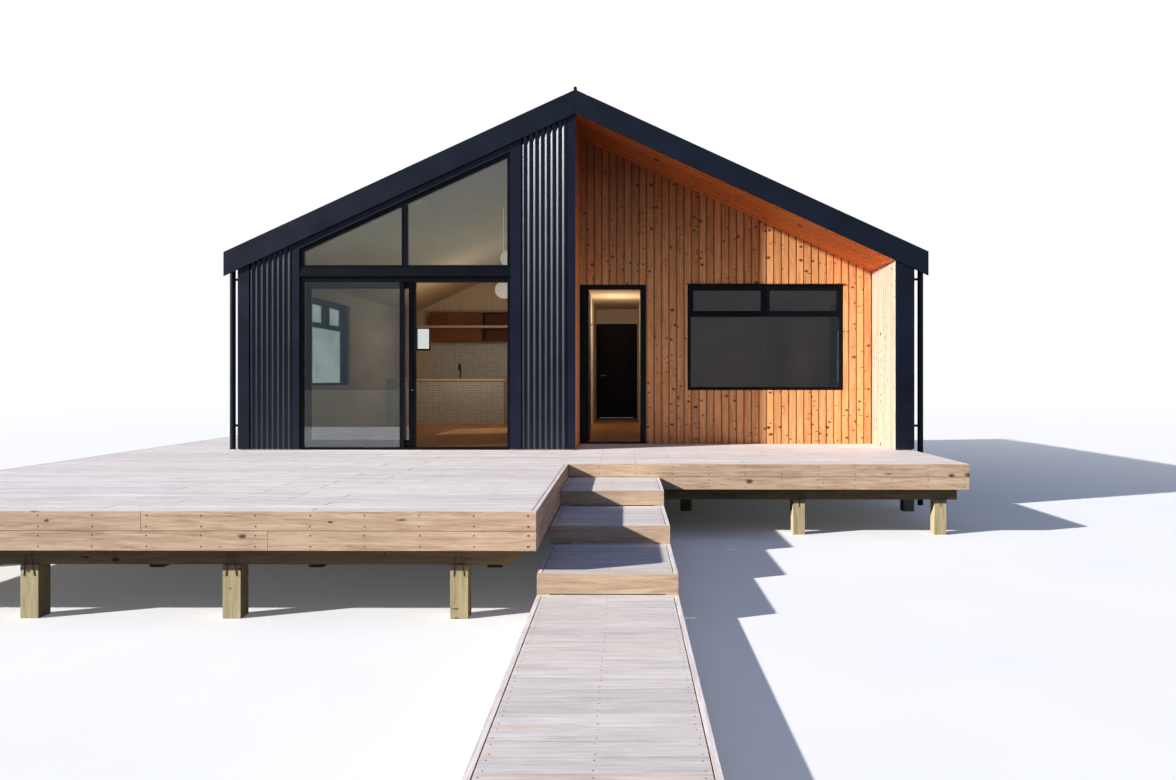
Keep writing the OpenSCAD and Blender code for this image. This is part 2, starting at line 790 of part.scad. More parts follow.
module corner_flashings() color("black") {
    z0 = floor_z + clad_lift;
    z1 = floor_z - clad_drop;
    leg = corner_w - clad_t;
    intersection() {
        union() {
            translate([0, 0, z0]) linear_extrude(ridge_h)
                polygon([[-face_x, -clad_t], [corner_w - face_x, -clad_t], [corner_w - face_x, 0], [-hw, 0],
                         [-hw, leg], [-face_x, leg]]);
            translate([0, 0, z0]) linear_extrude(ridge_h)
                polygon([[face_x, -clad_t], [porch_w, -clad_t], [porch_w, 0], [hw, 0], [hw, leg],
                         [face_x, leg]]);
            for (side = [0, 1]) mirror([side, 0, 0])
                translate([0, 0, z1]) linear_extrude(ridge_h)
                    polygon([[face_x, house_d + clad_t], [face_x - corner_w, house_d + clad_t],
                             [face_x - corner_w, house_d], [hw, house_d], [hw, house_d - leg],
                             [face_x, house_d - leg]]);
        }
        slab_y(-clad_t - 1, house_d + clad_t + 1) raked(-face_x, face_x, z1);
    }
    slab_y(-clad_t, 0) raked(-pier_corner_w, 0, z0);
    slab_y(-clad_t, 0)
        polygon([[slider_x - jamb_left_w, z0], [slider_x, z0], [slider_x, roof_z(slider_x) - head_strip],
                 [slider_x1, roof_z(slider_x1) - head_strip], [slider_x1, z0],
                 [slider_x1 + jamb_right_w, z0],
                 [slider_x1 + jamb_right_w, roof_z(slider_x1 + jamb_right_w) - seat],
                 [slider_x - jamb_left_w, roof_z(slider_x - jamb_left_w) - seat]]);
}

module porch_lining() color("darkorange") {
    slab_y(0, porch_back) raked(-lining_t, 0, floor_z, soffit_v);
    slab_y(0, porch_core) raked(porch_w, porch_w + lining_t, floor_z, soffit_v);
    difference() {
        slab_y(porch_face, porch_core) raked(0, porch_w, floor_z, soffit_v);
        block([-1, porch_face - 1, floor_z - 1], [door_w, porch_core + 1, floor_z + door_h]);
        block([porch_win_x, porch_face - 1, floor_z + porch_win_z],
              [porch_win_x + porch_win_w, porch_core + 1, floor_z + porch_win_z + porch_win_h]);
    }
}

module porch_soffit() color("chocolate") {
    rake_band(0, porch_w, -soffit_v, -seat, -verge_out, porch_core);
}

module roof_left() color("slategray") mirror([1, 0, 0]) roof_half();

module roof_right() color("slategray") roof_half();

module roof_sheets() color("midnightblue") {
    run = house_d + 2 * verge_out;
    slope_l = (face_x + sheet_over) / cos(roof_pitch);
    for (side = [0, 1]) mirror([side, 0, 0])
        translate([0, -verge_out, roof_z(0) + roof_v]) rotate([0, roof_pitch, 0]) rotate([90, 0, 90])
            linear_extrude(slope_l) wave_outline(run);
}

module ridge_cap() color("black") {
    low = roof_v + sheet_v;
    wing_x = ridge_wing * cos(roof_pitch);
    slab_y(-verge_out - barge_t, house_d + verge_out + barge_t) {
        polygon([[-wing_x, roof_z(wing_x) + low], [0, roof_z(0) + low], [wing_x, roof_z(wing_x) + low],
                 [wing_x, roof_z(wing_x) + low + fold_v], [0, roof_z(0) + low + fold_v],
                 [-wing_x, roof_z(wing_x) + low + fold_v]]);
        translate([0, roof_z(0) + low + ridge_roll_r]) circle(r = ridge_roll_r);
    }
}

module barge_boards() color("black") {
    barge(-verge_out, -verge_out - barge_t);
    barge(house_d + verge_out, house_d + verge_out + barge_t);
}

module gutters() color("black") {
    top = roof_z(face_x) + roof_v - gutter_drop;
    foot = top - gutter_d;
    lip = top - gutter_low;
    bead = face_x + gutter_w - gutter_bead;
    t = flash_t;
    for (side = [0, 1]) mirror([side, 0, 0]) {
        slab_y(-verge_out, house_d + verge_out)
            polygon([[face_x, foot], [face_x + gutter_w, foot], [face_x + gutter_w, lip],
                     [bead, lip], [bead, lip - t],
                     [face_x + gutter_w - t, lip - t], [face_x + gutter_w - t, foot + t],
                     [face_x + t, foot + t], [face_x + t, top], [face_x, top]]);
        for (y = [-verge_out, house_d + verge_out - t])
            block([face_x, y, foot], [face_x + gutter_w, y + t, lip]);
        block([face_x, -verge_out, roof_z(face_x)], [face_x + t, house_d + verge_out, foot + t]);
    }
}

module downpipes() color("black") {
    top = roof_z(face_x) + roof_v - gutter_drop - gutter_d;
    px = face_x + pipe_r + pipe_gap;
    for (side = [0, 1]) mirror([side, 0, 0]) {
        difference() {
            union() {
                translate([px, pipe_y, pipe_foot]) cylinder(r = pipe_r, h = top - pipe_foot);
                for (z = [floor_z + pipe_strap, top - pipe_strap])
                    block([face_x, pipe_y - strap_w / 2, z], [px, pipe_y + strap_w / 2, z + strap_h]);
            }
            translate([px, pipe_y, pipe_foot - 1]) cylinder(r = pipe_r - flash_t, h = top - pipe_foot + 2);
        }
    }
}

module window_band() color("black") {
    slab_x(slider_x, slider_x1)
        polygon([[0, band_z], [-head_out, band_z + head_fall], [-head_out, band_z + head_h],
                 [-band_toe, gable_z], [wall_t, gable_z], [wall_t, band_z]]);
}

// Outline of one pane of the gable window, grown by the groove
module gable_pane(x0, x1, grow) {
    drop = head_strip + gable_frame / cos(roof_pitch);
    polygon([[x0 - grow, gable_z + gable_sill - grow], [x1 + grow, gable_z + gable_sill - grow],
             [x1 + grow, roof_z(x1 + grow) - drop + grow], [x0 - grow, roof_z(x0 - grow) - drop + grow]]);
}

// Both panes of the gable window
module gable_panes(grow, y0, y1) {
    slab_y(y0, y1) gable_pane(slider_x + gable_frame, mullion_x - gable_mullion / 2, grow);
    slab_y(y0, y1) gable_pane(mullion_x + gable_mullion / 2, slider_x1 - gable_frame, grow);
}

module gable_window_frame() color("black") {
    difference() {
        slab_y(0, frame_d)
            polygon([[slider_x, gable_z], [slider_x1, gable_z], [slider_x1, roof_z(slider_x1) - head_strip],
                     [slider_x, roof_z(slider_x) - head_strip]]);
        gable_panes(0, -1, frame_d + 1);
        gable_panes(glass_bite, glass_y, glass_y + glass_t);
    }
}

// Fixed pane of the wide door, let into frame and meeting stile
module fixed_pane() {
    b = glass_bite;
    block([slider_x + slider_jamb - b, glass_y, floor_z + slider_sill - b],
          [meet_x + b, glass_y + glass_t, band_z - slider_head + b]);
}

module slider_frame() color("black") {
    difference() {
        union() {
            difference() {
                block([slider_x, 0, floor_z], [slider_x1, frame_d, band_z]);
                block([slider_x + slider_jamb, -1, floor_z + slider_sill],
                      [slider_x1 - slider_jamb, frame_d + 1, band_z - slider_head]);
            }
            block([meet_x, 8, floor_z + slider_sill],
                  [meet_x + meet_stile, meet_t, band_z - slider_head]);
            block([slider_x + slider_jamb, leaf_y + leaf_t / 2 - rail_w / 2, floor_z + slider_sill],
                  [slider_x1 - slider_jamb, leaf_y + leaf_t / 2 + rail_w / 2, leaf_z - seat]);
        }
        fixed_pane();
    }
}

// Pane of the sliding leaf, grown by its groove
module leaf_pane() {
    b = glass_bite;
    block([leaf_x + trail_stile - b, leaf_y + (leaf_t - glass_t) / 2, leaf_z + bottom_rail - b],
          [leaf_x + leaf_w - lead_stile + b, leaf_y + (leaf_t + glass_t) / 2, leaf_z + leaf_h - top_rail + b]);
}

module sliding_door() color("black") {
    difference() {
        block([leaf_x, leaf_y, leaf_z], [leaf_x + leaf_w, leaf_y + leaf_t, leaf_z + leaf_h]);
        block([leaf_x + trail_stile, leaf_y - 1, leaf_z + bottom_rail],
              [leaf_x + leaf_w - lead_stile, leaf_y + leaf_t + 1, leaf_z + leaf_h - top_rail]);
        leaf_pane();
    }
}

module sliding_door_glass() color("lightsteelblue", 0.4) leaf_pane();

module sliding_door_pull() color("black") {
    x = leaf_x + leaf_w - lead_stile / 2;
    difference() {
        block([x - pull_w / 2, leaf_y - pull_out, floor_z + pull_z],
              [x + pull_w / 2, leaf_y, floor_z + pull_z + pull_l]);
        block([x - pull_w, leaf_y - pull_out + pull_bar, floor_z + pull_z + pull_bar],
              [x + pull_w, leaf_y + 1, floor_z + pull_z + pull_l - pull_bar]);
    }
}

module entry_frame() color("black")
    translate([0, porch_face, floor_z]) door_frame(door_h);

// Place of the entry door's leaf, standing open
module at_entry_leaf() {
    translate([door_jamb + pin_in, porch_face + frame_d + pin_out, floor_z]) rotate([0, 0, 90])
        children();
}

module entry_door() color("black") at_entry_leaf() door_leaf(door_h);

module entry_door_levers() color("silver") at_entry_leaf() door_levers();

module back_door_frame() color("black")
    translate([back_door_x + door_w, house_d + clad_t, floor_z]) rotate([0, 0, 180])
        door_frame(back_door_h);

// Place of the back door's leaf, shut
module at_back_leaf() {
    translate([back_door_x + door_w - door_jamb - pin_in, house_d + clad_t - frame_d - pin_out, floor_z])
        rotate([0, 0, 180]) children();
}

module back_door() color("black") at_back_leaf() door_leaf(back_door_h);

module back_door_levers() color("silver") at_back_leaf() door_levers();

module porch_window_frame() color("black") {
    translate([porch_win_x, porch_face, floor_z + porch_win_z])
        window_unit(porch_win_w, porch_win_h, 2, true);
    head_z = floor_z + porch_win_z + porch_win_h;
    slab_x(porch_win_x - win_head_in, porch_win_x + porch_win_w + 2 * win_head_in)
        polygon([[porch_face, head_z], [porch_face, head_z + win_head_h],
                 [porch_face - head_out, head_z + head_fall], [porch_face - head_out, head_z]]);
}

module outer_window_frames() color("black") {
    at_left_window() window_unit(side_win_w, side_win_h, 2, true);
    at_right_window() window_unit(side_win_w, side_win_h, 2, true);
    at_back_window() window_unit(back_win_w, side_win_h, 1, true);
    at_kitchen_window() window_unit(kitchen_win_w, kitchen_win_h, 1, false);
}

module window_glass() color("lightsteelblue", 0.4) {
    fixed_pane();
    gable_panes(glass_bite, glass_y, glass_y + glass_t);
    translate([porch_win_x, porch_face, floor_z + porch_win_z])
        window_unit_glass(porch_win_w, porch_win_h, 2, true);
    at_left_window() window_unit_glass(side_win_w, side_win_h, 2, true);
    at_right_window() window_unit_glass(side_win_w, side_win_h, 2, true);
    at_back_window() window_unit_glass(back_win_w, side_win_h, 1, true);
    at_kitchen_window() window_unit_glass(kitchen_win_w, kitchen_win_h, 1, false);
}

module kitchen_bench() color("lightgray") {
    x0 = -wall_in;
    block([x0, bench_y, floor_z], [x0 + bench_l, bench_y + bench_d - bench_kick, floor_z + bench_h - bench_top_t]);
    block([x0, bench_y - bench_over, floor_z + bench_h - bench_top_t],
          [x0 + bench_l + bench_over, bench_y + bench_d, floor_z + bench_h]);
}

module kitchen_tap() color("black")
    translate([tap_x - wall_in, bench_y + bench_d - tap_in, floor_z + bench_h]) {
        cylinder(r = tap_r, h = tap_h);
        translate([0, -tap_bend, tap_h]) rotate([90, 0, 90]) rotate_extrude(angle = 180)
            translate([tap_bend, 0]) circle(r = tap_r);
        translate([0, -2 * tap_bend, tap_h - tap_drop]) cylinder(r = tap_r, h = tap_drop);
    }

module kitchen_cupboards() color("brown") {
    x0 = -wall_in + cupboard_x;
    x1 = x0 + cupboard_w;
    x2 = x1 + open_bay_w;
    y0 = room_y1 - cupboard_d;
    t = board_side;
    for (z = [floor_z + cupboard_z, floor_z + cupboard_z + cupboard_row + shelf_t]) difference() {
        block([x0, y0, z], [x2, room_y1, z + cupboard_row]);
        block([x1 + t, y0 - 1, z + t], [x2 - t, room_y1 - t, z + cupboard_row - t]);
    }
}

module kitchen_shelf() color("wheat") {
    z0 = floor_z + cupboard_z + cupboard_row;
    block([-wall_in, room_y1 - shelf_d, z0],
          [-wall_in + cupboard_x + cupboard_w + open_bay_w + shelf_over, room_y1, z0 + shelf_t]);
}

module kitchen_splashback() color("lightgray") {
    block([-wall_in + cupboard_x, room_y1 - splash_t, floor_z + bench_h],
          [-wall_in + cupboard_x + cupboard_w + open_bay_w, room_y1, floor_z + cupboard_z]);
}

module globe_lights() color("white") {
    stem_r = 5;
    for (g = [[globe_low_y, globe_low], [globe_high_y, globe_high]]) {
        translate([-globe_x, g[0], floor_z + g[1]]) sphere(r = globe_r);
        intersection() {
            translate([-globe_x, g[0], floor_z + g[1]]) cylinder(r = stem_r, h = ridge_h);
            slab_y(wall_t, room_y1) raked(-wall_in, 0, floor_z, ceiling_v);
        }
    }
}

module decking() color("gainsboro") {
    g = fascia_t + deck_gap;
    wall_y = -clad_t - deck_gap;
    inner_y = -clad_t;
    side_x = -face_x - deck_gap;
    pipe_x = -face_x - pipe_r - pipe_gap;
    block([deck_x0 + g, deck_y0 + g, joist_top], [deck_x1 - g, narrow_y0 + fascia_t, floor_z]);
    block([deck_x0 + g, narrow_y0 + g, joist_top], [narrow_x1 - g, wall_y, floor_z]);
    block([deck_gap, inner_y, joist_top], [porch_w - deck_gap, porch_face - deck_gap, floor_z]);
    difference() {
        block([deck_x0 + g, inner_y, joist_top], [side_x, strip_back - g, floor_z]);
        translate([pipe_x, pipe_y, joist_top - 1]) cylinder(r = pipe_r + pipe_slot, h = board_t + 2);
    }
}

module deck_fascia() color("burlywood") {
    z0 = floor_z - fascia_h;
    t = fascia_t;
    c = step_gap;
    block([deck_x0, deck_y0, z0], [deck_x1, deck_y0 + t, floor_z]);
    block([deck_x0, deck_y0 + t + c, z0], [deck_x0 + t, strip_back, floor_z]);
    block([deck_x1 - t, deck_y0 + t + c, z0], [deck_x1, narrow_y0 + t, floor_z]);
    block([deck_x1 + c, narrow_y0, z0], [narrow_x1, narrow_y0 + t, floor_z]);
    block([narrow_x1 - t, narrow_y0 + t + c, z0], [narrow_x1, -bearer_w / 2 - seat, floor_z]);
    block([deck_x0 + t + c, strip_back - t, z0], [-face_x - deck_gap, strip_back, floor_z]);
}

module deck_joists() color("burlywood") {
    wall_y = -clad_t - deck_gap;
    strip_x1 = -face_x - 2 * pipe_r - pipe_gap - pipe_free - joist_w;
    strip_x0 = deck_x0 + fascia_t;
    for (x = spread(strip_x0, strip_x1, parts(strip_x1 - strip_x0, joist_pitch)))
        block([x, deck_y0 + fascia_t, joist_z], [x + joist_w, strip_back - fascia_t, joist_top]);
    wide_x1 = deck_x1 - fascia_t - joist_w;
    wide = spread(strip_x1, wide_x1, parts(wide_x1 - strip_x1, joist_pitch));
    for (i = [1 : len(wide) - 1])
        block([wide[i], deck_y0 + fascia_t, joist_z], [wide[i] + joist_w, wall_y, joist_top]);
    narrow_last = narrow_x1 - fascia_t - joist_w;
    narrow = spread(wide_x1, narrow_last, parts(narrow_last - wide_x1, joist_pitch));
    for (i = [1 : len(narrow) - 1])
        block([narrow[i], narrow_y0 + fascia_t, joist_z], [narrow[i] + joist_w, wall_y, joist_top]);
}

// Bearer along x with its lower corner splayed at the right end
module bearer_run(x0, x1, y) {
    slab_y(y - bearer_w / 2, y + bearer_w / 2)
        polygon([[x0, bearer_z], [x1 - bearer_h * bearer_splay, bearer_z],
                 [x1, bearer_z + bearer_h * bearer_splay],
                 [x1, joist_z], [x0, joist_z]]);
}

module deck_bearers() color("peru") {
    front_y = deck_y0 + bearer_back;
    narrow_y = narrow_y0 + bearer_back;
    bearer_x0 = deck_x0 + bearer_in;
    bearer_run(bearer_x0, deck_x1 - bearer_end_in, front_y);
    bearer_run(bearer_x0, deck_x1 - bearer_end_in, (front_y + narrow_y) / 2);
    block([bearer_x0, narrow_y - bearer_w / 2, bearer_z],
          [narrow_x1 - bearer_narrow_in, narrow_y + bearer_w / 2, joist_z]);
    for (y = spread(strip_back / 2, strip_back - bearer_back, 1))
        block([bearer_x0, y - bearer_w / 2, bearer_z],
              [-face_x - bearer_end_in, y + bearer_w / 2, joist_z]);
}

module deck_posts() color("tan") {
    front_y = deck_y0 + bearer_back;
    narrow_y = narrow_y0 + bearer_back;
    h = post_s / 2;
    for (y = [front_y, (front_y + narrow_y) / 2, narrow_y], run = post_runs)
        translate([deck_x1 - post_first - run - h, y - h, 0]) cube([post_s, post_s, bearer_z]);
    for (k = [0 : 2])
        translate([narrow_x1 - post_narrow - k * post_pitch - h, narrow_y - h, 0]) cube([post_s, post_s, bearer_z]);
    for (y = spread(strip_back / 2, strip_back - bearer_back, 1), x = [deck_x0 + post_strip, -face_x - post_strip])
        translate([x - h, y - h, 0]) cube([post_s, post_s, bearer_z]);
}

// One of the broad front steps, counted down from the deck; its back rim seats on the legs behind
module front_step(k) {
    x0 = deck_x1 + step_gap;
    y0 = narrow_y0 - k * step_go;
    platform(x0, x0 + step_w, y0, y0 + step_go - seat, floor_z - k * riser);
}

module front_steps() color("burlywood") {
    for (k = [1 : step_count]) front_step(k);
}

module step_legs() color("tan") {
    x0 = deck_x1 + step_gap;
    for (k = [1 : step_count], x = [x0, x0 + step_w - leg_s]) {
        y0 = narrow_y0 - k * step_go;
        block([x, y0, 0], [x + leg_s, y0 + leg_s, floor_z - k * riser - step_board]);
    }
}

module boardwalk() color("gainsboro") {
    x0 = deck_x1 + step_gap;
    y1 = deck_y0 - seat;
    platform(x0, x0 + step_w, y1 - walk_l, y1, walk_z);
}

module sleepers() color("tan") {
    x0 = deck_x1 + step_gap;
    y1 = deck_y0 - seat - sleeper_in - sleeper_w;
    y0 = deck_y0 - seat - walk_l + sleeper_in;
    for (y = spread(y0, y1, parts(walk_l, sleeper_pitch)))
        block([x0, y, 0], [x0 + step_w, y + sleeper_w, walk_z - step_board]);
}

piles();
floor_bearers();
floor_joists();
floor();
front_wall();
gable_head_wall();
left_wall();
right_wall();
back_wall();
back_gable_wall();
porch_side_wall();
porch_back_wall();
porch_over_door_wall();
hall_walls();
ceilings();
front_cladding();
side_cladding();
back_cladding();
corner_flashings();
porch_lining();
porch_soffit();
roof_left();
roof_right();
roof_sheets();
ridge_cap();
barge_boards();
gutters();
downpipes();
window_band();
gable_window_frame();
slider_frame();
sliding_door();
sliding_door_glass();
sliding_door_pull();
entry_frame();
entry_door();
entry_door_levers();
back_door_frame();
back_door();
back_door_levers();
porch_window_frame();
outer_window_frames();
window_glass();
kitchen_bench();
kitchen_tap();
kitchen_cupboards();
kitchen_shelf();
kitchen_splashback();
globe_lights();
decking();
deck_fascia();
deck_joists();
deck_bearers();
deck_posts();
front_steps();
step_legs();
boardwalk();
sleepers();
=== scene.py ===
import math
import random

import bmesh
import bpy
from mathutils import Matrix, Vector


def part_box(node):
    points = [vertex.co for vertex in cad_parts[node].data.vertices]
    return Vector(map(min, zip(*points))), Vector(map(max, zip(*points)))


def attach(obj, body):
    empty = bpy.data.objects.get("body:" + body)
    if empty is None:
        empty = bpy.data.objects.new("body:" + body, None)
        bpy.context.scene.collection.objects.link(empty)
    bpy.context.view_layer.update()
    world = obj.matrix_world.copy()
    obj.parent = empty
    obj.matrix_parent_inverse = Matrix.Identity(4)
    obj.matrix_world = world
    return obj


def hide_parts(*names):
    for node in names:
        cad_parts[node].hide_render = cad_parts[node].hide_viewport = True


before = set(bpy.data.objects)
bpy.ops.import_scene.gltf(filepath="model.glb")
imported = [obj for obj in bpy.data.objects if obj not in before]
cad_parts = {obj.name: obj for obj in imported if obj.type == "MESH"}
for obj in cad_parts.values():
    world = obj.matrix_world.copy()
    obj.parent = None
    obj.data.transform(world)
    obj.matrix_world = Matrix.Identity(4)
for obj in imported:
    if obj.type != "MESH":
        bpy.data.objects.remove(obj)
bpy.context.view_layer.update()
random.seed(74)

# House body, in metres: x along the front, y to the back, z up from the ground
house = {
    "wallX": 4.445, "faceX": 4.465, "depth": 8.6, "floorZ": 0.8, "ridgeHeight": 4.45,
    "pitch": math.radians(24.7), "cornerWidth": 0.15, "roofThick": 0.244, "verge": 0.025,
}
floorZ = house["floorZ"]
rake = math.tan(house["pitch"])
lean = math.cos(house["pitch"])
climb = math.sin(house["pitch"])
# Clearance between faces that would otherwise lie in each other
hair = 0.001
print("frame loaded:", len(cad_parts), "nodes")


def roofUnder(x):
    return floorZ + house["ridgeHeight"] - abs(x) * rake


# Shared helpers for meshes

# Angles between faces, in radians, from which boards are bevelled, sheets shaded sharp and
# CAD nodes bevelled or split
angles = {"board": 0.5, "sheet": 0.6, "node": math.radians(40)}
# The narrowest part that is made, and how many cones are made at a time
limits = {"part": 0.004, "batch": 64}


def finished(name, mesh):
    data = bpy.data.meshes.new(name)
    mesh.to_mesh(data)
    mesh.free()
    return data


def newObject(name, data):
    made = bpy.data.objects.new(name, data)
    bpy.context.scene.collection.objects.link(made)
    return made


def addPiece(name, mesh, material, body="house", replaced=()):
    piece = newObject(name, finished(name, mesh))
    piece.data.materials.append(material)
    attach(piece, body)
    if replaced:
        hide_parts(*replaced)
    return piece


def boardLayer(mesh):
    return mesh.faces.layers.float.get("board") or mesh.faces.layers.float.new("board")


# A box with one board number on all its faces; top gives the height of its upper face at x
def addBox(mesh, low, high, tone=None, top=None):
    layer = boardLayer(mesh)
    made = bmesh.ops.create_cube(mesh, size=1.0)["verts"]
    middle = (Vector(high) + Vector(low)) / 2
    bmesh.ops.scale(mesh, verts=made, vec=Vector(high) - Vector(low))
    bmesh.ops.translate(mesh, verts=made, vec=middle)
    if top:
        for vert in made:
            if vert.co.z > middle.z:
                vert.co.z = top(vert.co.x)
    value = random.random() if tone is None else tone
    for face in {face for vert in made for face in vert.link_faces}:
        face[layer] = value
    return made


def softenEdges(mesh, width):
    edges = [edge for edge in mesh.edges if edge.calc_face_angle(0) > angles["board"]]
    bmesh.ops.bevel(mesh, geom=edges, offset=width, segments=1, profile=0.5,
                    affect="EDGES", material=-1, clamp_overlap=True)


# Parts of a rectangle (low u, low v, high u, high v) that lie outside the holes
def leftOver(area, holes):
    parts = [area]
    for holeU0, holeV0, holeU1, holeV1 in holes:
        cut = []
        for u0, v0, u1, v1 in parts:
            if holeU0 >= u1 or holeU1 <= u0 or holeV0 >= v1 or holeV1 <= v0:
                cut.append((u0, v0, u1, v1))
                continue
            if holeU0 > u0:
                cut.append((u0, v0, holeU0, v1))
            if holeU1 < u1:
                cut.append((holeU1, v0, u1, v1))
            if holeV0 > v0:
                cut.append((max(u0, holeU0), v0, min(u1, holeU1), holeV0))
            if holeV1 < v1:
                cut.append((max(u0, holeU0), holeV1, min(u1, holeU1), v1))
        parts = cut
    return [part for part in parts
            if min(part[2] - part[0], part[3] - part[1]) > limits["part"]]


# Joins a finished small mesh into a larger one
def pourInto(mesh, part):
    holder = finished("holder", part)
    mesh.from_mesh(holder)
    bpy.data.meshes.remove(holder)


# Small cones at the given places, made in batches because that is quicker
def addCones(mesh, places, segments, radius1, radius2, depth):
    for first in range(0, len(places), limits["batch"]):
        batch = bmesh.new()
        for place in places[first:first + limits["batch"]]:
            bmesh.ops.create_cone(batch, cap_ends=True, segments=segments, radius1=radius1,
                                  radius2=radius2, depth=depth, matrix=place)
        pourInto(mesh, batch)


def spreadOut(start, end, parts):
    return [start + (end - start) * index / parts for index in range(parts + 1)]


def markSharp(mesh):
    for face in mesh.faces:
        face.smooth = True
    for edge in mesh.edges:
        edge.smooth = edge.calc_face_angle(0) < angles["sheet"]


# Orders a mesh's parts by their places, because solidify leaves them in another order each run
def sortParts(mesh):
    for parts in (mesh.verts, mesh.edges, mesh.faces):
        places = {part: [sum(vert.co[way] for vert in getattr(part, "verts", (part,)))
                         for way in range(3)] for part in parts}
        ranks = {part: rank for rank, part in enumerate(sorted(parts, key=places.get))}
        parts.sort(key=ranks.get)


# Shared helpers for materials


def newMaterial(name):
    material = bpy.data.materials.new(name)
    material.use_nodes = True
    tree = material.node_tree
    return material, tree, tree.nodes["Principled BSDF"]


# Gives each input another node's output or a plain value
def feed(tree, node, values):
    for key, value in values.items():
        if isinstance(value, bpy.types.NodeSocket):
            tree.links.new(value, node.inputs[key])
        else:
            node.inputs[key].default_value = value


# Adds a shader node and returns its outputs
def put(tree, kind, values=None, **settings):
    made = tree.nodes.new("ShaderNode" + kind)
    for key, value in settings.items():
        setattr(made, key, value)
    feed(tree, made, values or {})
    return made.outputs


def colour(red, green, blue):
    return tuple((value / 255) ** 2.2 for value in (red, green, blue)) + (1.0,)


def ramp(tree, factor, stops):
    made = put(tree, "ValToRGB", {"Fac": factor})["Color"]
    elements = made.node.color_ramp.elements
    while len(elements) < len(stops):
        elements.new(0.5)
    for element, (place, shade) in zip(elements, stops):
        element.position = place
        element.color = shade
    return made


def colourRamp(tree, factor, places, shades):
    return ramp(tree, factor, [(place, colour(*shade)) for place, shade in zip(places, shades)])


def greyRamp(tree, factor, stops):
    return ramp(tree, factor, [(place, (level, level, level, 1.0)) for place, level in stops])


def blendColours(tree, factor, first, second, mode="MIX"):
    return put(tree, "Mix", {0: factor, 6: first, 7: second}, data_type="RGBA", blend_type=mode)[2]


def tinted(tree, shade, tint):
    return blendColours(tree, 1.0, shade, tint, "MULTIPLY")


def mathNode(tree, operation, first, second=0.0, third=0.0):
    return put(tree, "Math", {0: first, 1: second, 2: third}, operation=operation)[0]


def times(tree, first, second):
    return mathNode(tree, "MULTIPLY", first, second)


def vectorNode(tree, operation, first, second):
    return put(tree, "VectorMath", {0: first, 1: second}, operation=operation)[0]


def joined(tree, x, y, z=0.0):
    return put(tree, "CombineXYZ", {"X": x, "Y": y, "Z": z})[0]


def parted(tree, vector):
    return put(tree, "SeparateXYZ", {0: vector})


def noise(tree, place, scale, detail=2.0, roughness=0.5, distortion=0.0):
    return put(tree, "TexNoise", {
        "Vector": place, "Scale": scale, "Detail": detail, "Roughness": roughness,
        "Distortion": distortion})


def cells(tree, place, scale):
    return put(tree, "TexVoronoi", {"Vector": place, "Scale": scale}, voronoi_dimensions="2D")


def objectPlace(tree):
    return put(tree, "TexCoord")["Object"]


# A number that follows a texture's factor from a base value upwards
def varied(tree, factor, share, base):
    return mathNode(tree, "ADD", times(tree, factor, share), base)


def mixAtOutput(tree, share, first, second):
    mixed = put(tree, "MixShader", {0: share, 1: first[0], 2: second[0]})
    feed(tree, tree.nodes["Material Output"], {"Surface": mixed[0]})


def addBump(tree, surface, height, strength, distance):
    bump = put(tree, "Bump", {"Height": height, "Strength": strength, "Distance": distance})
    feed(tree, surface, {"Normal": bump["Normal"]})


# Wood grain: how far a board number moves the pattern, how the pattern is stretched, the two
# clouds (scale, detail, roughness, distortion) with their shares, and where its shades stand
grainLook = {
    "shift": (31.7, 57.3, 43.1), "along": 1.1, "across": 16.0,
    "coarse": (2.0, 6.0, 0.62, 0.9), "coarseShare": 0.75, "fine": (9.0, 3.0), "fineShare": 0.25,
    "stops": (0.30, 0.5, 0.68), "wornStops": (0.28, 0.66), "uneven": 0.2, "relief": 0.0015,
}

# Knots: round ones and streaks as cells per metre, each fading from its middle outwards
knotLook = {
    "roundCells": 8.5, "streakCells": 6.5, "streakShape": (0.62, 1.8, 1.0),
    "roundFade": ((0.03, 1.0), (0.085, 0.8), (0.15, 0.0)),
    "streakFade": ((0.03, 0.95), (0.07, 0.6), (0.115, 0.0)),
    "bendScale": 30.0, "bend": (0.02, 0.02, 0.02), "streakShare": 0.7,
    "upright": (0.8, 1.15), "lying": (0.6, 1.0), "colour": (66, 28, 10), "strength": 0.94,
    "cluster": (1.3, 1.0), "clusterFloor": 0.25, "density": 4.0, "least": 0.4, "growth": 1.5,
}

# Weather greys the faces whose normal looks up at least this far
wornLook = {"facing": 0.8, "strength": 0.92}


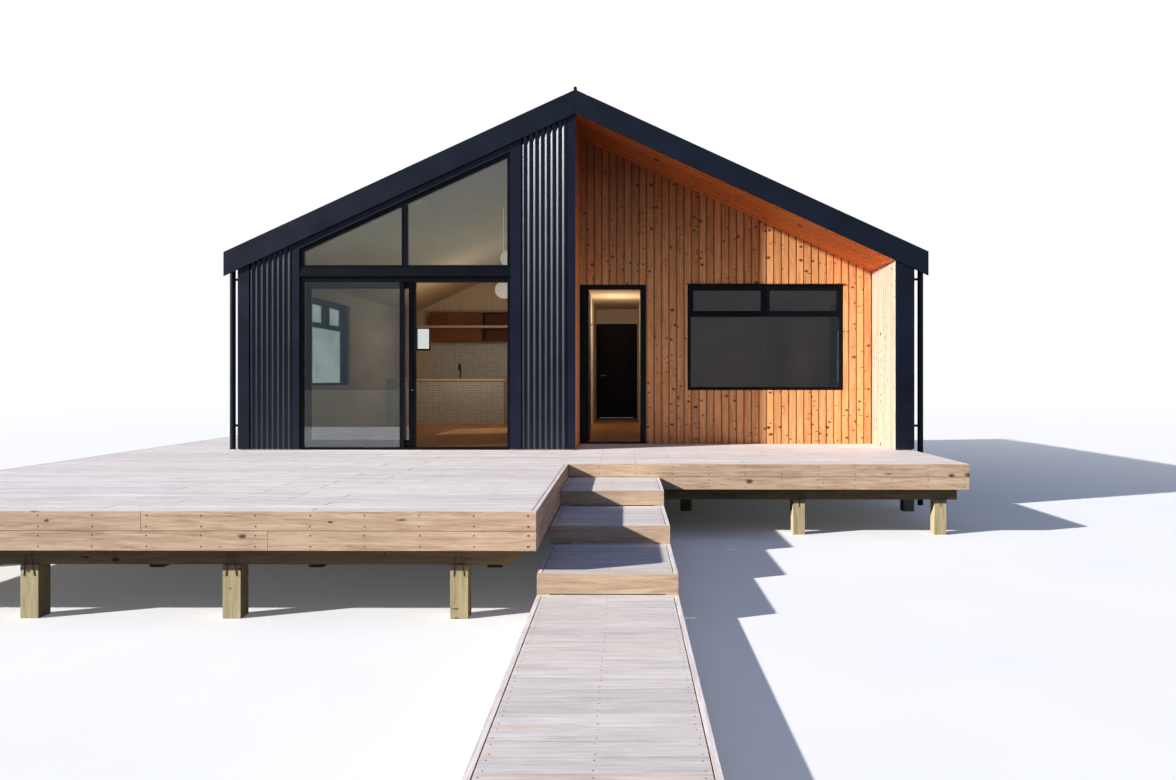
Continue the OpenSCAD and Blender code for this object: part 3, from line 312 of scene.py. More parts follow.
def knotMask(tree, moved, axis, upright, knots):
    ways = parted(tree, moved)
    first = mathNode(tree, "ADD", ways[0], ways[1]) if upright else ways[0]
    second = ways[2 if upright else 1]
    factors = knotLook["upright"] if axis == "Z" else knotLook["lying"]
    place = joined(tree, times(tree, first, factors[0]),
                   times(tree, second, factors[1]))
    bend = noise(tree, place, knotLook["bendScale"])["Color"]
    place = vectorNode(tree, "ADD", place, vectorNode(tree, "MULTIPLY", bend, knotLook["bend"]))
    # Knots stand closer where this cloud is high, and differ in size
    cluster = mathNode(tree, "SUBTRACT", noise(tree, moved, *knotLook["cluster"])["Fac"],
                       knotLook["clusterFloor"])
    chance = times(tree, cluster, knots * knotLook["density"])
    rounds = cells(tree, place, knotLook["roundCells"])
    chances = put(tree, "SeparateColor", {"Color": rounds["Color"]})
    size = varied(tree, mathNode(tree, "POWER", chances[1], 2.0), knotLook["growth"],
                  knotLook["least"])
    spot = greyRamp(tree, mathNode(tree, "DIVIDE", rounds["Distance"], size), knotLook["roundFade"])
    spot = times(tree, spot, mathNode(tree, "LESS_THAN", chances[0], chance))
    streaks = cells(tree, vectorNode(tree, "MULTIPLY", place, knotLook["streakShape"]),
                    knotLook["streakCells"])
    streakDraw = put(tree, "SeparateColor", {"Color": streaks["Color"]})[0]
    streakChance = times(tree, chance, knotLook["streakShare"])
    streak = times(tree, greyRamp(tree, streaks["Distance"], knotLook["streakFade"]),
                   mathNode(tree, "LESS_THAN", streakDraw, streakChance))
    return mathNode(tree, "MAXIMUM", spot, streak)


# Wood whose grain runs along one axis; every board shifts the pattern by its own number
# worn gives the two colours of the upward faces
# The last argument paints shade under the eaves: the heights of its darkening and how dark at the
# upper one
def woodMaterial(name, shades, axis, roughness=0.6, knots=0.0, spread=0.25, worn=None, bump=0.35,
                 upright=True, paintedShadeHeights=None):
    material, tree, surface = newMaterial(name)
    place = objectPlace(tree)
    board = put(tree, "Attribute", attribute_name="board")["Fac"]
    shift = joined(tree, *[times(tree, board, way) for way in grainLook["shift"]])
    moved = vectorNode(tree, "ADD", place, shift)
    scale = [grainLook["across"]] * 3
    scale["XYZ".index(axis)] = grainLook["along"]
    grainPlace = vectorNode(tree, "MULTIPLY", moved, scale)
    grain = noise(tree, grainPlace, *grainLook["coarse"])["Fac"]
    fine = noise(tree, grainPlace, *grainLook["fine"])["Fac"]
    both = mathNode(tree, "ADD", times(tree, grain, grainLook["coarseShare"]),
                    times(tree, fine, grainLook["fineShare"]))
    shade = colourRamp(tree, both, grainLook["stops"], shades)
    tone = varied(tree, board, 2 * spread, 1.0 - spread)
    toned = joined(tree, tone, tone, tone)
    shade = tinted(tree, shade, toned)
    if knots:
        mask = knotMask(tree, moved, axis, upright, knots)
        shade = blendColours(tree, times(tree, mask, knotLook["strength"]), shade,
                             colour(*knotLook["colour"]))
    if worn:
        facing = parted(tree, put(tree, "NewGeometry")["Normal"])["Z"]
        upward = mathNode(tree, "GREATER_THAN", facing, wornLook["facing"])
        greyed = tinted(tree, colourRamp(tree, both, grainLook["wornStops"], worn), toned)
        shade = blendColours(tree, times(tree, upward, wornLook["strength"]), shade, greyed)
    # Painted shade: the wood darkens and reddens upwards, where the eaves shade it
    if paintedShadeHeights:
        low, high, darkestShade = paintedShadeHeights
        shadeShare = put(tree, "MapRange", {
            "Value": parted(tree, place)["Z"], "From Min": low, "From Max": high})[0]
        paintedShade = ramp(tree, shadeShare, [(0.0, (1, 1, 1, 1)), (1.0, (*darkestShade, 1))])
        shade = tinted(tree, shade, paintedShade)
    rough = varied(tree, grain, grainLook["uneven"], roughness - grainLook["uneven"] / 2)
    feed(tree, surface, {"Base Color": shade, "Roughness": rough})
    addBump(tree, surface, both, bump, grainLook["relief"])
    return material


# Coats: a cloud (detail, roughness) that moves shade and roughness, and a fine speck in relief
coatLook = {"cloud": (4.0, 0.55), "stops": (0.35, 0.65), "uneven": 0.14, "speck": 140.0,
            "relief": (0.04, 0.0006)}


# Coated steel or aluminium with faint unevenness; gleam tints what it mirrors
def coatedMaterial(name, base, other, roughness, metallic=0.0, grainScale=2.2, shine=0.3, coat=0.0,
                   gleam=(1, 1, 1)):
    material, tree, surface = newMaterial(name)
    place = objectPlace(tree)
    cloud = noise(tree, place, grainScale, *coatLook["cloud"])["Fac"]
    speck = noise(tree, place, coatLook["speck"])["Fac"]
    shade = colourRamp(tree, cloud, coatLook["stops"], (base, other))
    rough = varied(tree, cloud, coatLook["uneven"], roughness - coatLook["uneven"] / 2)
    feed(tree, surface, {
        "Base Color": shade, "Roughness": rough, "Metallic": metallic,
        "Specular IOR Level": shine, "Specular Tint": (*gleam, 1), "Coat Weight": coat,
        "Coat Roughness": roughness})
    addBump(tree, surface, speck, *coatLook["relief"])
    return material


# Laid pieces: how soft their joints are, and their own grain (scale, detail) and its stretch
laidLook = {"soft": 0.1, "stretch": (1.5, 22.0, 1.0), "grain": (2.5, 5.0), "stops": (0.3, 0.7),
            "uneven": 0.15, "relief": 0.002}


# Tiles or planks laid by a brick pattern; along and across name its two directions
def laidMaterial(name, shades, size, along, across, roughness, mortar, offset=0.0, bump=0.5,
                 grainRange=(0.82, 1.08)):
    material, tree, surface = newMaterial(name)
    x, y, z = parted(tree, objectPlace(tree))
    ways = {"X": x, "Y": y, "Z": z, "XY": mathNode(tree, "ADD", x, y)}
    flat = joined(tree, ways[along], ways[across])
    first, second, joint = [colour(*shade) for shade in shades]
    brick = put(tree, "TexBrick", {
        "Vector": flat, "Color1": first, "Color2": second, "Mortar": joint, "Scale": 1.0,
        "Mortar Size": mortar, "Mortar Smooth": laidLook["soft"], "Bias": 0.0,
        "Brick Width": size[0], "Row Height": size[1]}, offset=offset)
    stretched = vectorNode(tree, "MULTIPLY", flat, laidLook["stretch"])
    grain = noise(tree, stretched, *laidLook["grain"])["Fac"]
    light = greyRamp(tree, grain, zip(laidLook["stops"], grainRange))
    shade = tinted(tree, brick["Color"], light)
    rough = varied(tree, grain, laidLook["uneven"], roughness)
    feed(tree, surface, {"Base Color": shade, "Roughness": rough})
    high = mathNode(tree, "SUBTRACT", 1.0, brick["Fac"])
    addBump(tree, surface, high, bump, laidLook["relief"])
    return material


# Glass: haze (scale, detail) and its tints, and the mirror's colour, blur and share, which
# grows from the least with this power of the angle
glassLook = {
    "haze": (1.4, 3.0), "tints": ((0.3, (0.86, 0.9, 0.89, 1)), (0.7, (0.93, 0.96, 0.95, 1))),
    "mirror": (0.9, 0.95, 1.0, 1), "blur": 0.02, "power": 5.0, "growth": 0.8, "least": 0.13,
}


# Thin panes: mostly clear, with a mirror that grows at flat angles
def glassMaterial(name):
    material, tree, surface = newMaterial(name)
    haze = noise(tree, objectPlace(tree), *glassLook["haze"])["Fac"]
    tint = ramp(tree, haze, glassLook["tints"])
    clear = put(tree, "BsdfTransparent", {"Color": tint})
    mirror = put(tree, "BsdfGlossy", {
        "Roughness": times(tree, haze, glassLook["blur"]), "Color": glassLook["mirror"]})
    side = put(tree, "LayerWeight", {"Blend": 0.5})["Facing"]
    share = varied(tree, mathNode(tree, "POWER", side, glassLook["power"]), glassLook["growth"],
                   glassLook["least"])
    mixAtOutput(tree, share, clear, mirror)
    tree.nodes.remove(surface)
    return material


def globeMaterial(name):
    material, tree, surface = newMaterial(name)
    cloud = noise(tree, objectPlace(tree), 6.0)["Fac"]
    shade = colourRamp(tree, cloud, (0.3, 0.7), ((236, 232, 222), (247, 245, 238)))
    feed(tree, surface, {
        "Base Color": shade, "Roughness": 0.25, "Coat Weight": 0.5,
        "Emission Color": (1.0, 0.93, 0.82, 1), "Emission Strength": 0.3})
    return material


steel = coatedMaterial(
    "navySteel", (15, 19, 32), (20, 25, 40), 0.36, shine=0.62, coat=0.1, gleam=(0.8, 0.87, 1.0))
roofSteel = coatedMaterial("navyRoof", (17, 22, 35), (24, 30, 46), 0.5)
trimSteel = coatedMaterial("navyTrim", (19, 24, 39), (25, 31, 49), 0.36, shine=0.35)
joinery = coatedMaterial("blackJoinery", (11, 13, 20), (15, 18, 27), 0.36, shine=0.2)
leverSteel = coatedMaterial(
    "brushedLever", (150, 150, 150), (185, 185, 186), 0.3, metallic=1.0, grainScale=30.0)
galvanised = coatedMaterial(
    "galvanised", (78, 74, 70), (108, 103, 97), 0.5, metallic=0.6, grainScale=40.0)
darkLens = coatedMaterial("downlightLens", (38, 38, 42), (52, 52, 56), 0.15, shine=0.6)
clearGlass = glassMaterial("paneGlass")
opal = globeMaterial("opalGlass")

# The lining darkens towards the eaves with painted shade
liningWood = woodMaterial(
    "stainedBoards", ((198, 124, 72), (233, 167, 106), (246, 192, 134)), "Z", roughness=0.55,
    knots=0.44, spread=0.15, paintedShadeHeights=(3.1, 4.8, (0.4, 0.26, 0.2)))
# A paler, less saturated copy of the lining's stain for the sunlit reveal: painted light
litRevealWood = woodMaterial(
    "stainedRevealPaintedLight", ((216, 152, 126), (238, 179, 158), (247, 197, 182)), "Z", roughness=0.55,
    knots=0.3, spread=0.08)
# A darker, redder copy of the lining's stain for the soffit: painted shade under the eaves
shadedSoffitWood = woodMaterial(
    "stainedSoffitPaintedShade", ((188, 92, 38), (218, 118, 54), (230, 138, 70)), "X", roughness=0.5, knots=0.4,
    spread=0.1, upright=False, paintedShadeHeights=(3.6, 5.2, (0.5, 0.4, 0.36)))
pine = ((162, 132, 106), (208, 177, 148), (232, 205, 178))
greyed = ((186, 181, 180), (250, 246, 246))
fasciaLook = {"roughness": 0.65, "knots": 0.07, "spread": 0.08, "worn": greyed}
fasciaWoodX = woodMaterial("fasciaBoards", pine, "X", **fasciaLook)
fasciaWoodY = woodMaterial("fasciaBoardsSide", pine, "Y", **fasciaLook)
deckWood = woodMaterial("weatheredDecking", pine, "X", roughness=0.75, spread=0.08, worn=greyed)
stepWood = woodMaterial(
    "stepBoards", pine, "X", roughness=0.7, knots=0.05, spread=0.08,
    worn=((186, 181, 179), (234, 229, 227)))
sawn = ((140, 116, 88), (170, 146, 114), (194, 170, 140))
sawnLook = {"roughness": 0.75, "knots": 0.12, "spread": 0.1}
framingWood = woodMaterial("sawnFraming", sawn, "Y", **sawnLook)
bearerWood = woodMaterial("sawnBearers", sawn, "X", **sawnLook)
postWood = woodMaterial(
    "treatedPosts", ((164, 146, 110), (208, 190, 148), (230, 216, 178)), "Z", roughness=0.85,
    knots=0.08, spread=0.12, bump=0.6)
plyWall = woodMaterial(
    "plyLining", ((190, 168, 138), (204, 182, 152), (214, 194, 166)), "Z", spread=0.05, bump=0.1)
plyCeiling = woodMaterial(
    "plyCeiling", ((184, 154, 118), (200, 172, 134), (212, 186, 150)), "X", spread=0.05, bump=0.1)
shelfWood = woodMaterial(
    "paleShelf", ((200, 176, 138), (216, 194, 156), (226, 206, 172)), "X", roughness=0.5)
cupboardWood = woodMaterial(
    "darkCupboards", ((84, 50, 32), (106, 64, 42), (122, 76, 52)), "X", roughness=0.4)
floorWood = laidMaterial(
    "floorPlanks", ((172, 118, 72), (150, 98, 58), (76, 48, 30)), (1.9, 0.135), "Y", "X", 0.32,
    0.002, offset=0.37, bump=0.2)
tiles = laidMaterial(
    "smallTiles", ((206, 202, 192), (196, 191, 180), (96, 90, 80)), (0.05, 0.05), "XY", "Z", 0.2,
    0.003, grainRange=(0.97, 1.02))
print("materials made:", len(bpy.data.materials))

# What each CAD node is made of
nodeFinish = (
    (steel, ("front_cladding", "side_cladding", "back_cladding", "roof_sheets")),
    (trimSteel, ("corner_flashings", "ridge_cap", "barge_boards", "gutters", "downpipes")),
    (joinery, ("window_band", "gable_window_frame", "slider_frame", "sliding_door",
               "sliding_door_pull", "entry_frame", "entry_door", "back_door_frame", "back_door",
               "porch_window_frame", "outer_window_frames", "kitchen_tap")),
    (leverSteel, ("entry_door_levers", "back_door_levers")),
    (clearGlass, ("sliding_door_glass", "window_glass")),
    (opal, ("globe_lights",)),
    (plyWall, ("front_wall", "gable_head_wall", "left_wall", "right_wall", "back_wall",
               "back_gable_wall", "porch_side_wall", "porch_back_wall", "porch_over_door_wall",
               "hall_walls")),
    (plyCeiling, ("ceilings",)),
    (liningWood, ("porch_lining",)),
    (shadedSoffitWood, ("porch_soffit",)),
    (floorWood, ("floor",)),
    (tiles, ("kitchen_bench", "kitchen_splashback")),
    (cupboardWood, ("kitchen_cupboards",)),
    (shelfWood, ("kitchen_shelf",)),
    (deckWood, ("decking", "boardwalk")),
    (stepWood, ("front_steps",)),
    (fasciaWoodX, ("deck_fascia",)),
    (framingWood, ("floor_joists", "deck_joists")),
    (bearerWood, ("floor_bearers", "roof_left", "roof_right", "deck_bearers", "sleepers")),
    (postWood, ("piles", "deck_posts", "step_legs")),
)
for material, nodeNames in nodeFinish:
    for nodeName in nodeNames:
        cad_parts[nodeName].data.materials.clear()
        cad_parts[nodeName].data.materials.append(material)

# Bevel widths of the CAD nodes that are seen close by
softEdges = (
    (0.0015, ("window_band", "porch_window_frame", "outer_window_frames")),
    (0.002, ("gable_window_frame", "slider_frame", "sliding_door", "sliding_door_pull",
             "entry_frame", "entry_door", "back_door_frame", "back_door", "barge_boards",
             "corner_flashings", "kitchen_bench")),
    (0.003, ("kitchen_shelf", "deck_bearers", "step_legs")),
    (0.004, ("deck_posts", "piles", "sleepers")),
)
for width, nodeNames in softEdges:
    for nodeName in nodeNames:
        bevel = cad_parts[nodeName].modifiers.new("soft", "BEVEL")
        bevel.width = width
        bevel.segments = 2
        bevel.limit_method = "ANGLE"
        bevel.angle_limit = angles["node"]
roundNodes = ("globe_lights", "kitchen_tap", "downpipes", "entry_door_levers", "back_door_levers")
for nodeName in roundNodes:
    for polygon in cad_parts[nodeName].data.polygons:
        polygon.use_smooth = True
    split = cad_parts[nodeName].modifiers.new("split", "EDGE_SPLIT")
    split.split_angle = angles["node"]
print("frame pieces finished")

# Corrugated sheets
wave = {"pitch": 0.0762, "depth": 0.018, "steel": 0.0014, "steps": 12, "weld": 1e-5, "atTop": 1e-4}


# Adds a sheet over a run, u along it and v up it
# place turns u, the height off the wall and v into a point; top gives its upper edge at u
def addSheet(mesh, run, low, high, place, holes=(), top=None):
    pitch = run / round(run / wave["pitch"])
    columns = round(run / pitch) * wave["steps"]
    flat = bmesh.new()
    bmesh.ops.create_grid(flat, x_segments=columns, y_segments=1, size=0.5)
    for vert in flat.verts:
        vert.co = Vector(((vert.co.x + 0.5) * run, 0, low + (vert.co.y + 0.5) * (high - low)))
    for u0, v0, u1, v1 in holes:
        for spot, way in (((u0, 0, 0), (1, 0, 0)), ((u1, 0, 0), (1, 0, 0)),
                          ((0, 0, v0), (0, 0, 1)), ((0, 0, v1), (0, 0, 1))):
            geometry = flat.verts[:] + flat.edges[:] + flat.faces[:]
            bmesh.ops.bisect_plane(flat, geom=geometry, plane_co=spot, plane_no=way,
                                   dist=wave["weld"])
    gone = []
    for face in flat.faces:
        middle = face.calc_center_median()
        if any(u0 < middle.x < u1 and v0 < middle.z < v1 for u0, v0, u1, v1 in holes):
            gone.append(face)
    bmesh.ops.delete(flat, geom=gone, context="FACES")
    for vert in flat.verts:
        u, v = vert.co.x, vert.co.z
        if top and v > high - wave["atTop"]:
            v = top(u)
        out = wave["depth"] / 2 * (1 - math.cos(math.tau * u / pitch))
        vert.co = place(u, out, v)
    bmesh.ops.recalc_face_normals(flat, faces=flat.faces[:])
    bmesh.ops.solidify(flat, geom=flat.faces[:], thickness=wave["steel"])
    markSharp(flat)
    sortParts(flat)
    pourInto(mesh, flat)


# Front wall: sheets left and right of the wide openings
frontWall = {"foot": floorZ + 0.012,
             "runs": ((house["cornerWidth"] - house["faceX"], -3.742), (-0.715, -0.105))}
frontSheets = bmesh.new()
for startX, endX in frontWall["runs"]:
    addSheet(frontSheets, endX - startX, frontWall["foot"], roofUnder(endX),
             lambda u, out, v: Vector((startX + u, -hair - out, v)),
             top=lambda u: roofUnder(startX + u) - hair)
addPiece("frontSheets", frontSheets, steel, replaced=["front_cladding"])

# Windows of the side and back walls hang from the eaves, the kitchen's from its own corner
windows = {"drop": 0.15, "high": 1.42, "kitchenX": 4.265, "kitchenDrop": 0.332, "kitchenHigh": 0.56}
eaves = roofUnder(house["faceX"])
windowTop = eaves - windows["drop"]
windowFoot = windowTop - windows["high"]

# Side walls: each in two runs that meet at the step, with a window in y and z
sideWalls = {"start": 0.13, "step": 2.9496, "end": 8.47, "foot": 0.56,
             "window": (2.2, windowFoot, 4.0, windowTop)}
sideSheets = bmesh.new()
sideRuns = ((sideWalls["start"], sideWalls["step"]), (sideWalls["step"], sideWalls["end"]))
for side in (-1, 1):
    for startY, endY in sideRuns:
        # The deck covers the foot of the left wall's first run
        beside = side < 0 and startY == sideWalls["start"]
        y0, z0, y1, z1 = sideWalls["window"]
        addSheet(sideSheets, endY - startY, frontWall["foot"] if beside else sideWalls["foot"],
                 eaves - hair,
                 lambda u, out, v: Vector((side * (house["wallX"] + hair + out), startY + u, v)),
                 holes=[(y0 - startY, z0, y1 - startY, z1)])
addPiece("sideSheets", sideSheets, steel, replaced=["side_cladding"])

# Back wall: the door's, the bedroom window's and the kitchen window's holes in x and z
kitchenTop = roofUnder(windows["kitchenX"]) - windows["kitchenDrop"]
backWall = {
    "half": house["faceX"] - house["cornerWidth"], "foot": 0.56, "face": house["depth"] + hair,
    "holes": ((-0.015, 0.4, 0.94, 3.02), (1.12, windowFoot, 2.02, windowTop),
              (-windows["kitchenX"], kitchenTop - windows["kitchenHigh"], -3.885, kitchenTop)),
}
halfBack = backWall["half"]
backSheets = bmesh.new()
addSheet(backSheets, 2 * halfBack, backWall["foot"], roofUnder(0),
         lambda u, out, v: Vector((u - halfBack, backWall["face"] + out, v)),
         holes=[(x0 + halfBack, z0, x1 + halfBack, z1) for x0, z0, x1, z1 in backWall["holes"]],
         top=lambda u: roofUnder(u - halfBack) - hair)
addPiece("backSheets", backSheets, steel, replaced=["back_cladding"])

# Roof: sheets from ridge to gutter on both slopes, with screws on every second crest
roof = {"length": (house["faceX"] + 0.045) / lean, "width": house["depth"] + 2 * house["verge"],
        "top": roofUnder(0) + house["roofThick"] / lean,
        "screwRows": (0.35, 1.45, 2.55, 3.65, 4.75), "screwEvery": 2, "screwOut": 0.0215,
        "screw": (6, 0.0065, 0.005, 0.006)}
roofSheets = bmesh.new()
roofScrews = bmesh.new()
crests = round(roof["width"] / wave["pitch"])


# A point on one slope: u down from the ridge, out off the roof, y along the ridge
def onSlope(side, u, out, y):
    return Vector((side * (u * lean + out * climb), y, roof["top"] - u * climb + out * lean))


for side in (-1, 1):
    addSheet(roofSheets, roof["width"], 0, roof["length"],
             lambda u, out, v: onSlope(side, v, hair + out, u - house["verge"]))
    tilt = Matrix.Rotation(side * house["pitch"], 4, "Y")
    spots = [onSlope(side, row, roof["screwOut"],
                     (crest + 0.5) * roof["width"] / crests - house["verge"])
             for row in roof["screwRows"] for crest in range(0, crests, roof["screwEvery"])]
    addCones(roofScrews, [Matrix.Translation(spot) @ tilt for spot in spots], *roof["screw"])
addPiece("roofSheets", roofSheets, roofSteel, replaced=["roof_sheets"])
addPiece("roofScrews", roofScrews, roofSteel)
print("corrugated sheets made")

# Decks: boards along x between the edge boards, butt-joined over the joists
# The voids are the ground beside the decks, the house and the left downpipe
deck = {
    "area": (-5.733, -5.123, 4.398, 2.963), "board": 0.14, "gap": 0.005, "thick": 0.032,
    "phase": -1.823, "narrowest": 0.01,
    "voids": ((-0.007, -6.0, 5.0, -1.823), (-4.47, -0.025, 0.005, 4.0), (4.215, -0.025, 5.0, 4.0),
              (0.005, 1.045, 5.0, 4.0), (-4.628, 0.042, -4.532, 0.138)),
    "joistRuns": ((-5.738, -4.687, 3), (-4.687, -0.047, 12), (-0.047, 4.358, 11)),
    "joistHalf": 0.0225, "edge": 0.0015, "butt": 0.0015,
}
boards = {"longest": 4.8, "reach": (2.6, 4.7), "shortest": 1.2, "last": 0.6}
nails = {"cone": (8, 0.0042, 0.00336), "head": 0.0008, "sunk": 0.0001, "in": 0.026,
         "narrow": 0.06, "off": 0.012, "driftX": 0.006, "driftY": 0.004}
deckJoists = [deck["joistRuns"][0][0]]
for start, end, parts in deck["joistRuns"]:
    deckJoists += spreadOut(start, end, parts)[1:]
deckJoists = [place + deck["joistHalf"] for place in deckJoists]
nailPlaces = []
screwPlaces = []


# A nail head on a face; turn says which way the face looks, if not up
def addNail(target, x, y, z, turn=Matrix()):
    seat = Matrix.Translation((0, 0, nails["head"] / 2 - nails["sunk"]))
    target.append(Matrix.Translation((x, y, z)) @ turn @ seat)


# Two nails across a board, or one where the board is narrow
def nailRow(x, y0, y1, z):
    if y1 - y0 < nails["narrow"]:
        addNail(nailPlaces, x, (y0 + y1) / 2, z)
        return
    for y in (y0 + nails["in"], y1 - nails["in"]):
        addNail(nailPlaces, x + random.uniform(-nails["driftX"], nails["driftX"]),
                y + random.uniform(-nails["driftY"], nails["driftY"]), z)


# Cuts a long strip into boards that meet over a joist
def cutOverJoists(x0, x1):
    ends = [x0]
    while x1 - ends[-1] > boards["longest"]:
        reach = ends[-1] + random.uniform(*boards["reach"])
        inside = [place for place in deckJoists
                  if ends[-1] + boards["shortest"] < place < min(reach, x1 - boards["last"])]
        if not inside:
            break
        ends.append(inside[-1])
    return list(zip(ends, ends[1:] + [x1]))


# One strip of decking, its boards nailed at every joist below them
def addStrip(mesh, x0, y0, x1, y1):
    for start, end in cutOverJoists(x0, x1):
        buttStart = deck["butt"] if start > x0 else 0
        buttEnd = deck["butt"] if end < x1 else 0
        addBox(mesh, (start + buttStart, y0, floorZ - deck["thick"]), (end - buttEnd, y1, floorZ))
        for place in deckJoists:
            if not start - hair <= place <= end + hair:
                continue
            shift = 0
            if abs(place - start) < 2 * hair:
                shift = nails["off"]
            elif abs(place - end) < 2 * hair:
                shift = -nails["off"]
            nailRow(place + shift, y0, y1, floorZ)


deckBoards = bmesh.new()
areaX0, areaY0, areaX1, areaY1 = deck["area"]
pitch = deck["board"] + deck["gap"]
firstRow = math.floor((areaY0 - deck["phase"]) / pitch)
lastRow = math.ceil((areaY1 - deck["phase"]) / pitch)
for row in range(firstRow, lastRow):
    low = deck["phase"] + row * pitch
    strip = (areaX0, max(low, areaY0), areaX1, min(low + deck["board"], areaY1))
    if strip[3] - strip[1] < deck["narrowest"]:
        continue
    for part in leftOver(strip, deck["voids"]):
        addStrip(deckBoards, *part)
softenEdges(deckBoards, deck["edge"])
addPiece("deckBoards", deckBoards, deckWood, replaced=["decking"])

# Fascias: two boards one over the other, at each edge of the decks
# A run across is (start x, y, end x), a run along is (x, start y, end y)
fascia = {
    "thick": 0.032, "high": 0.28, "gap": 0.004, "edge": 0.0015, "butt": 0.0015,
    "across": ((-5.77, -5.16, 0.03), (0.033, -1.86, 4.435), (-5.735, 2.968, -4.47)),
    "along": ((-5.77, -5.125, 3.0), (-0.002, -5.125, -1.828), (4.403, -1.825, -0.046)),
    "reach": 3.9, "stagger": 0.9, "last": 0.8, "gapShadeTone": -4.6,
}
# Screws in the fascias at the joists behind them, and in a row along the side of the wide deck
screws = {
    "in": 0.03, "drift": 0.004, "cone": (12, 0.0065, 0.005), "corner": -0.03, "inner": 0.1,
    "faces": (-5.16, -1.86), "side": 0.03, "sideStart": -5.05, "sideStep": 0.43, "sideCount": 8,
}
fasciaX = bmesh.new()
fasciaY = bmesh.new()
boardHigh = (fascia["high"] - fascia["gap"]) / 2
boardFeet = [floorZ - fascia["high"] + level * (boardHigh + fascia["gap"]) for level in (0, 1)]


# A box of a fascia between two places on its run, set in from both faces
def addFasciaBox(mesh, run, start, end, low, high, inset=0.0, tone=None):
    thick = fascia["thick"]
    if mesh is fasciaX:
        addBox(mesh, (start, run[1] + inset, low), (end, run[1] + thick - inset, high), tone)
    else:
        addBox(mesh, (run[0] + inset, start, low), (run[0] + thick - inset, end, high), tone)


for mesh, runs, startAt in ((fasciaX, fascia["across"], 0), (fasciaY, fascia["along"], 1)):
    for run in runs:
        runStart, runEnd = run[startAt], run[2]
        for level, foot in enumerate(boardFeet):
            ends = [runStart]
            while runEnd - ends[-1] > fascia["reach"] + fascia["last"]:
                ends.append(ends[-1] + fascia["reach"] - fascia["stagger"] * level)
            for start, end in zip(ends, ends[1:] + [runEnd]):
                addFasciaBox(mesh, run, start, end - fascia["butt"], foot, foot + boardHigh)
        # A dark strip between the two boards paints the shade in the gap
        gapShadeFoot = boardFeet[0] + boardHigh - hair
        addFasciaBox(mesh, run, runStart + hair, runEnd - 3 * hair, gapShadeFoot,
                     gapShadeFoot + fascia["gap"] + 2 * hair, hair, fascia["gapShadeTone"])
softenEdges(fasciaX, fascia["edge"])
softenEdges(fasciaY, fascia["edge"])
facingFront = Matrix.Rotation(math.radians(90), 4, "X")
facingRight = Matrix.Rotation(math.radians(90), 4, "Y")
screwRows = ([place for place in deckJoists if place < 0.0] + [screws["corner"]],
             [place for place in deckJoists if place > screws["inner"]])
for z in [foot + up for foot in boardFeet for up in (screws["in"], boardHigh - screws["in"])]:
    for places, y in zip(screwRows, screws["faces"]):
        for x in places:
            drift = random.uniform(-screws["drift"], screws["drift"])
            addNail(screwPlaces, x + drift, y, z, facingFront)
    for step in range(screws["sideCount"]):
        y = screws["sideStart"] + step * screws["sideStep"]
        addNail(screwPlaces, screws["side"], y, z, facingRight)
edgeX = addPiece("fasciaAcross", fasciaX, fasciaWoodX)
addPiece("fasciaAlong", fasciaY, fasciaWoodY)
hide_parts("deck_fascia")

# Broad steps and boardwalk: edge boards around boards laid across
steps = {"x0": 0.033, "x1": 1.033, "go": 1.1, "riser": 0.147, "high": 0.14, "count": 3,
         "front": -1.86, "edgeBoard": 0.032, "joist": 0.045, "nailIn": 0.01, "apart": 0.0005,
         "walk": 3.6, "walkBack": -5.1605, "edge": 0.0015}


def addPlatform(mesh, sides, y0, y1, top):
    edge, gap, half = steps["edgeBoard"], deck["gap"], steps["joist"] / 2
    x0, x1 = steps["x0"], steps["x1"]
    low = top - steps["high"]
    sideY0, sideY1 = y0 + edge + hair, y1 - edge - hair
    addBox(mesh, (x0, y0, low), (x1, y0 + edge, top))
    addBox(mesh, (x0, y1 - edge, low), (x1, y1, top))
    addBox(sides, (x0, sideY0, low), (x0 + edge, sideY1, top))
    addBox(sides, (x1 - edge, sideY0, low), (x1, sideY1, top))
    run = y1 - y0 - 2 * edge - gap
    count = round(run / pitch)
    each = run / count
    joists = (x0 + edge + half, (x0 + x1) / 2, x1 - edge - half)
    for index in range(count):
        start = y0 + edge + gap + index * each
        addBox(mesh, (x0 + edge + gap, start, top - deck["thick"]),
               (x1 - edge - gap, start + each - gap, top))
        for place in (joists[0] + steps["nailIn"], joists[1], joists[2] - steps["nailIn"]):
            nailRow(place, start, start + each - gap, top)
    for place in joists:
        addBox(sides, (place - half, sideY0, low),
               (place + half, sideY1, top - deck["thick"] - hair))


stepBoards = bmesh.new()
stepSides = bmesh.new()
walkBoards = bmesh.new()
walkSides = bmesh.new()
for index in range(1, steps["count"] + 1):
    front = steps["front"] - index * steps["go"]
    addPlatform(stepBoards, stepSides, front, front + steps["go"] - steps["apart"],
                floorZ - index * steps["riser"])
addPlatform(walkBoards, walkSides, steps["walkBack"] - steps["walk"], steps["walkBack"],
            floorZ - (steps["count"] + 1) * steps["riser"])
for mesh in (stepBoards, stepSides, walkBoards, walkSides):
    softenEdges(mesh, steps["edge"])
addPiece("stepBoards", stepBoards, stepWood, replaced=["front_steps"])
addPiece("stepSides", stepSides, fasciaWoodY)
addPiece("walkBoards", walkBoards, stepWood, replaced=["boardwalk"])
addPiece("walkSides", walkSides, fasciaWoodY)
deckNails = bmesh.new()
addCones(deckNails, nailPlaces, *nails["cone"], nails["head"])
addPiece("deckNails", deckNails, galvanised)
fasciaScrews = bmesh.new()
addCones(fasciaScrews, screwPlaces, *screws["cone"], nails["head"])
addPiece("fasciaScrews", fasciaScrews, galvanised)
print("decks, steps and boardwalk made")

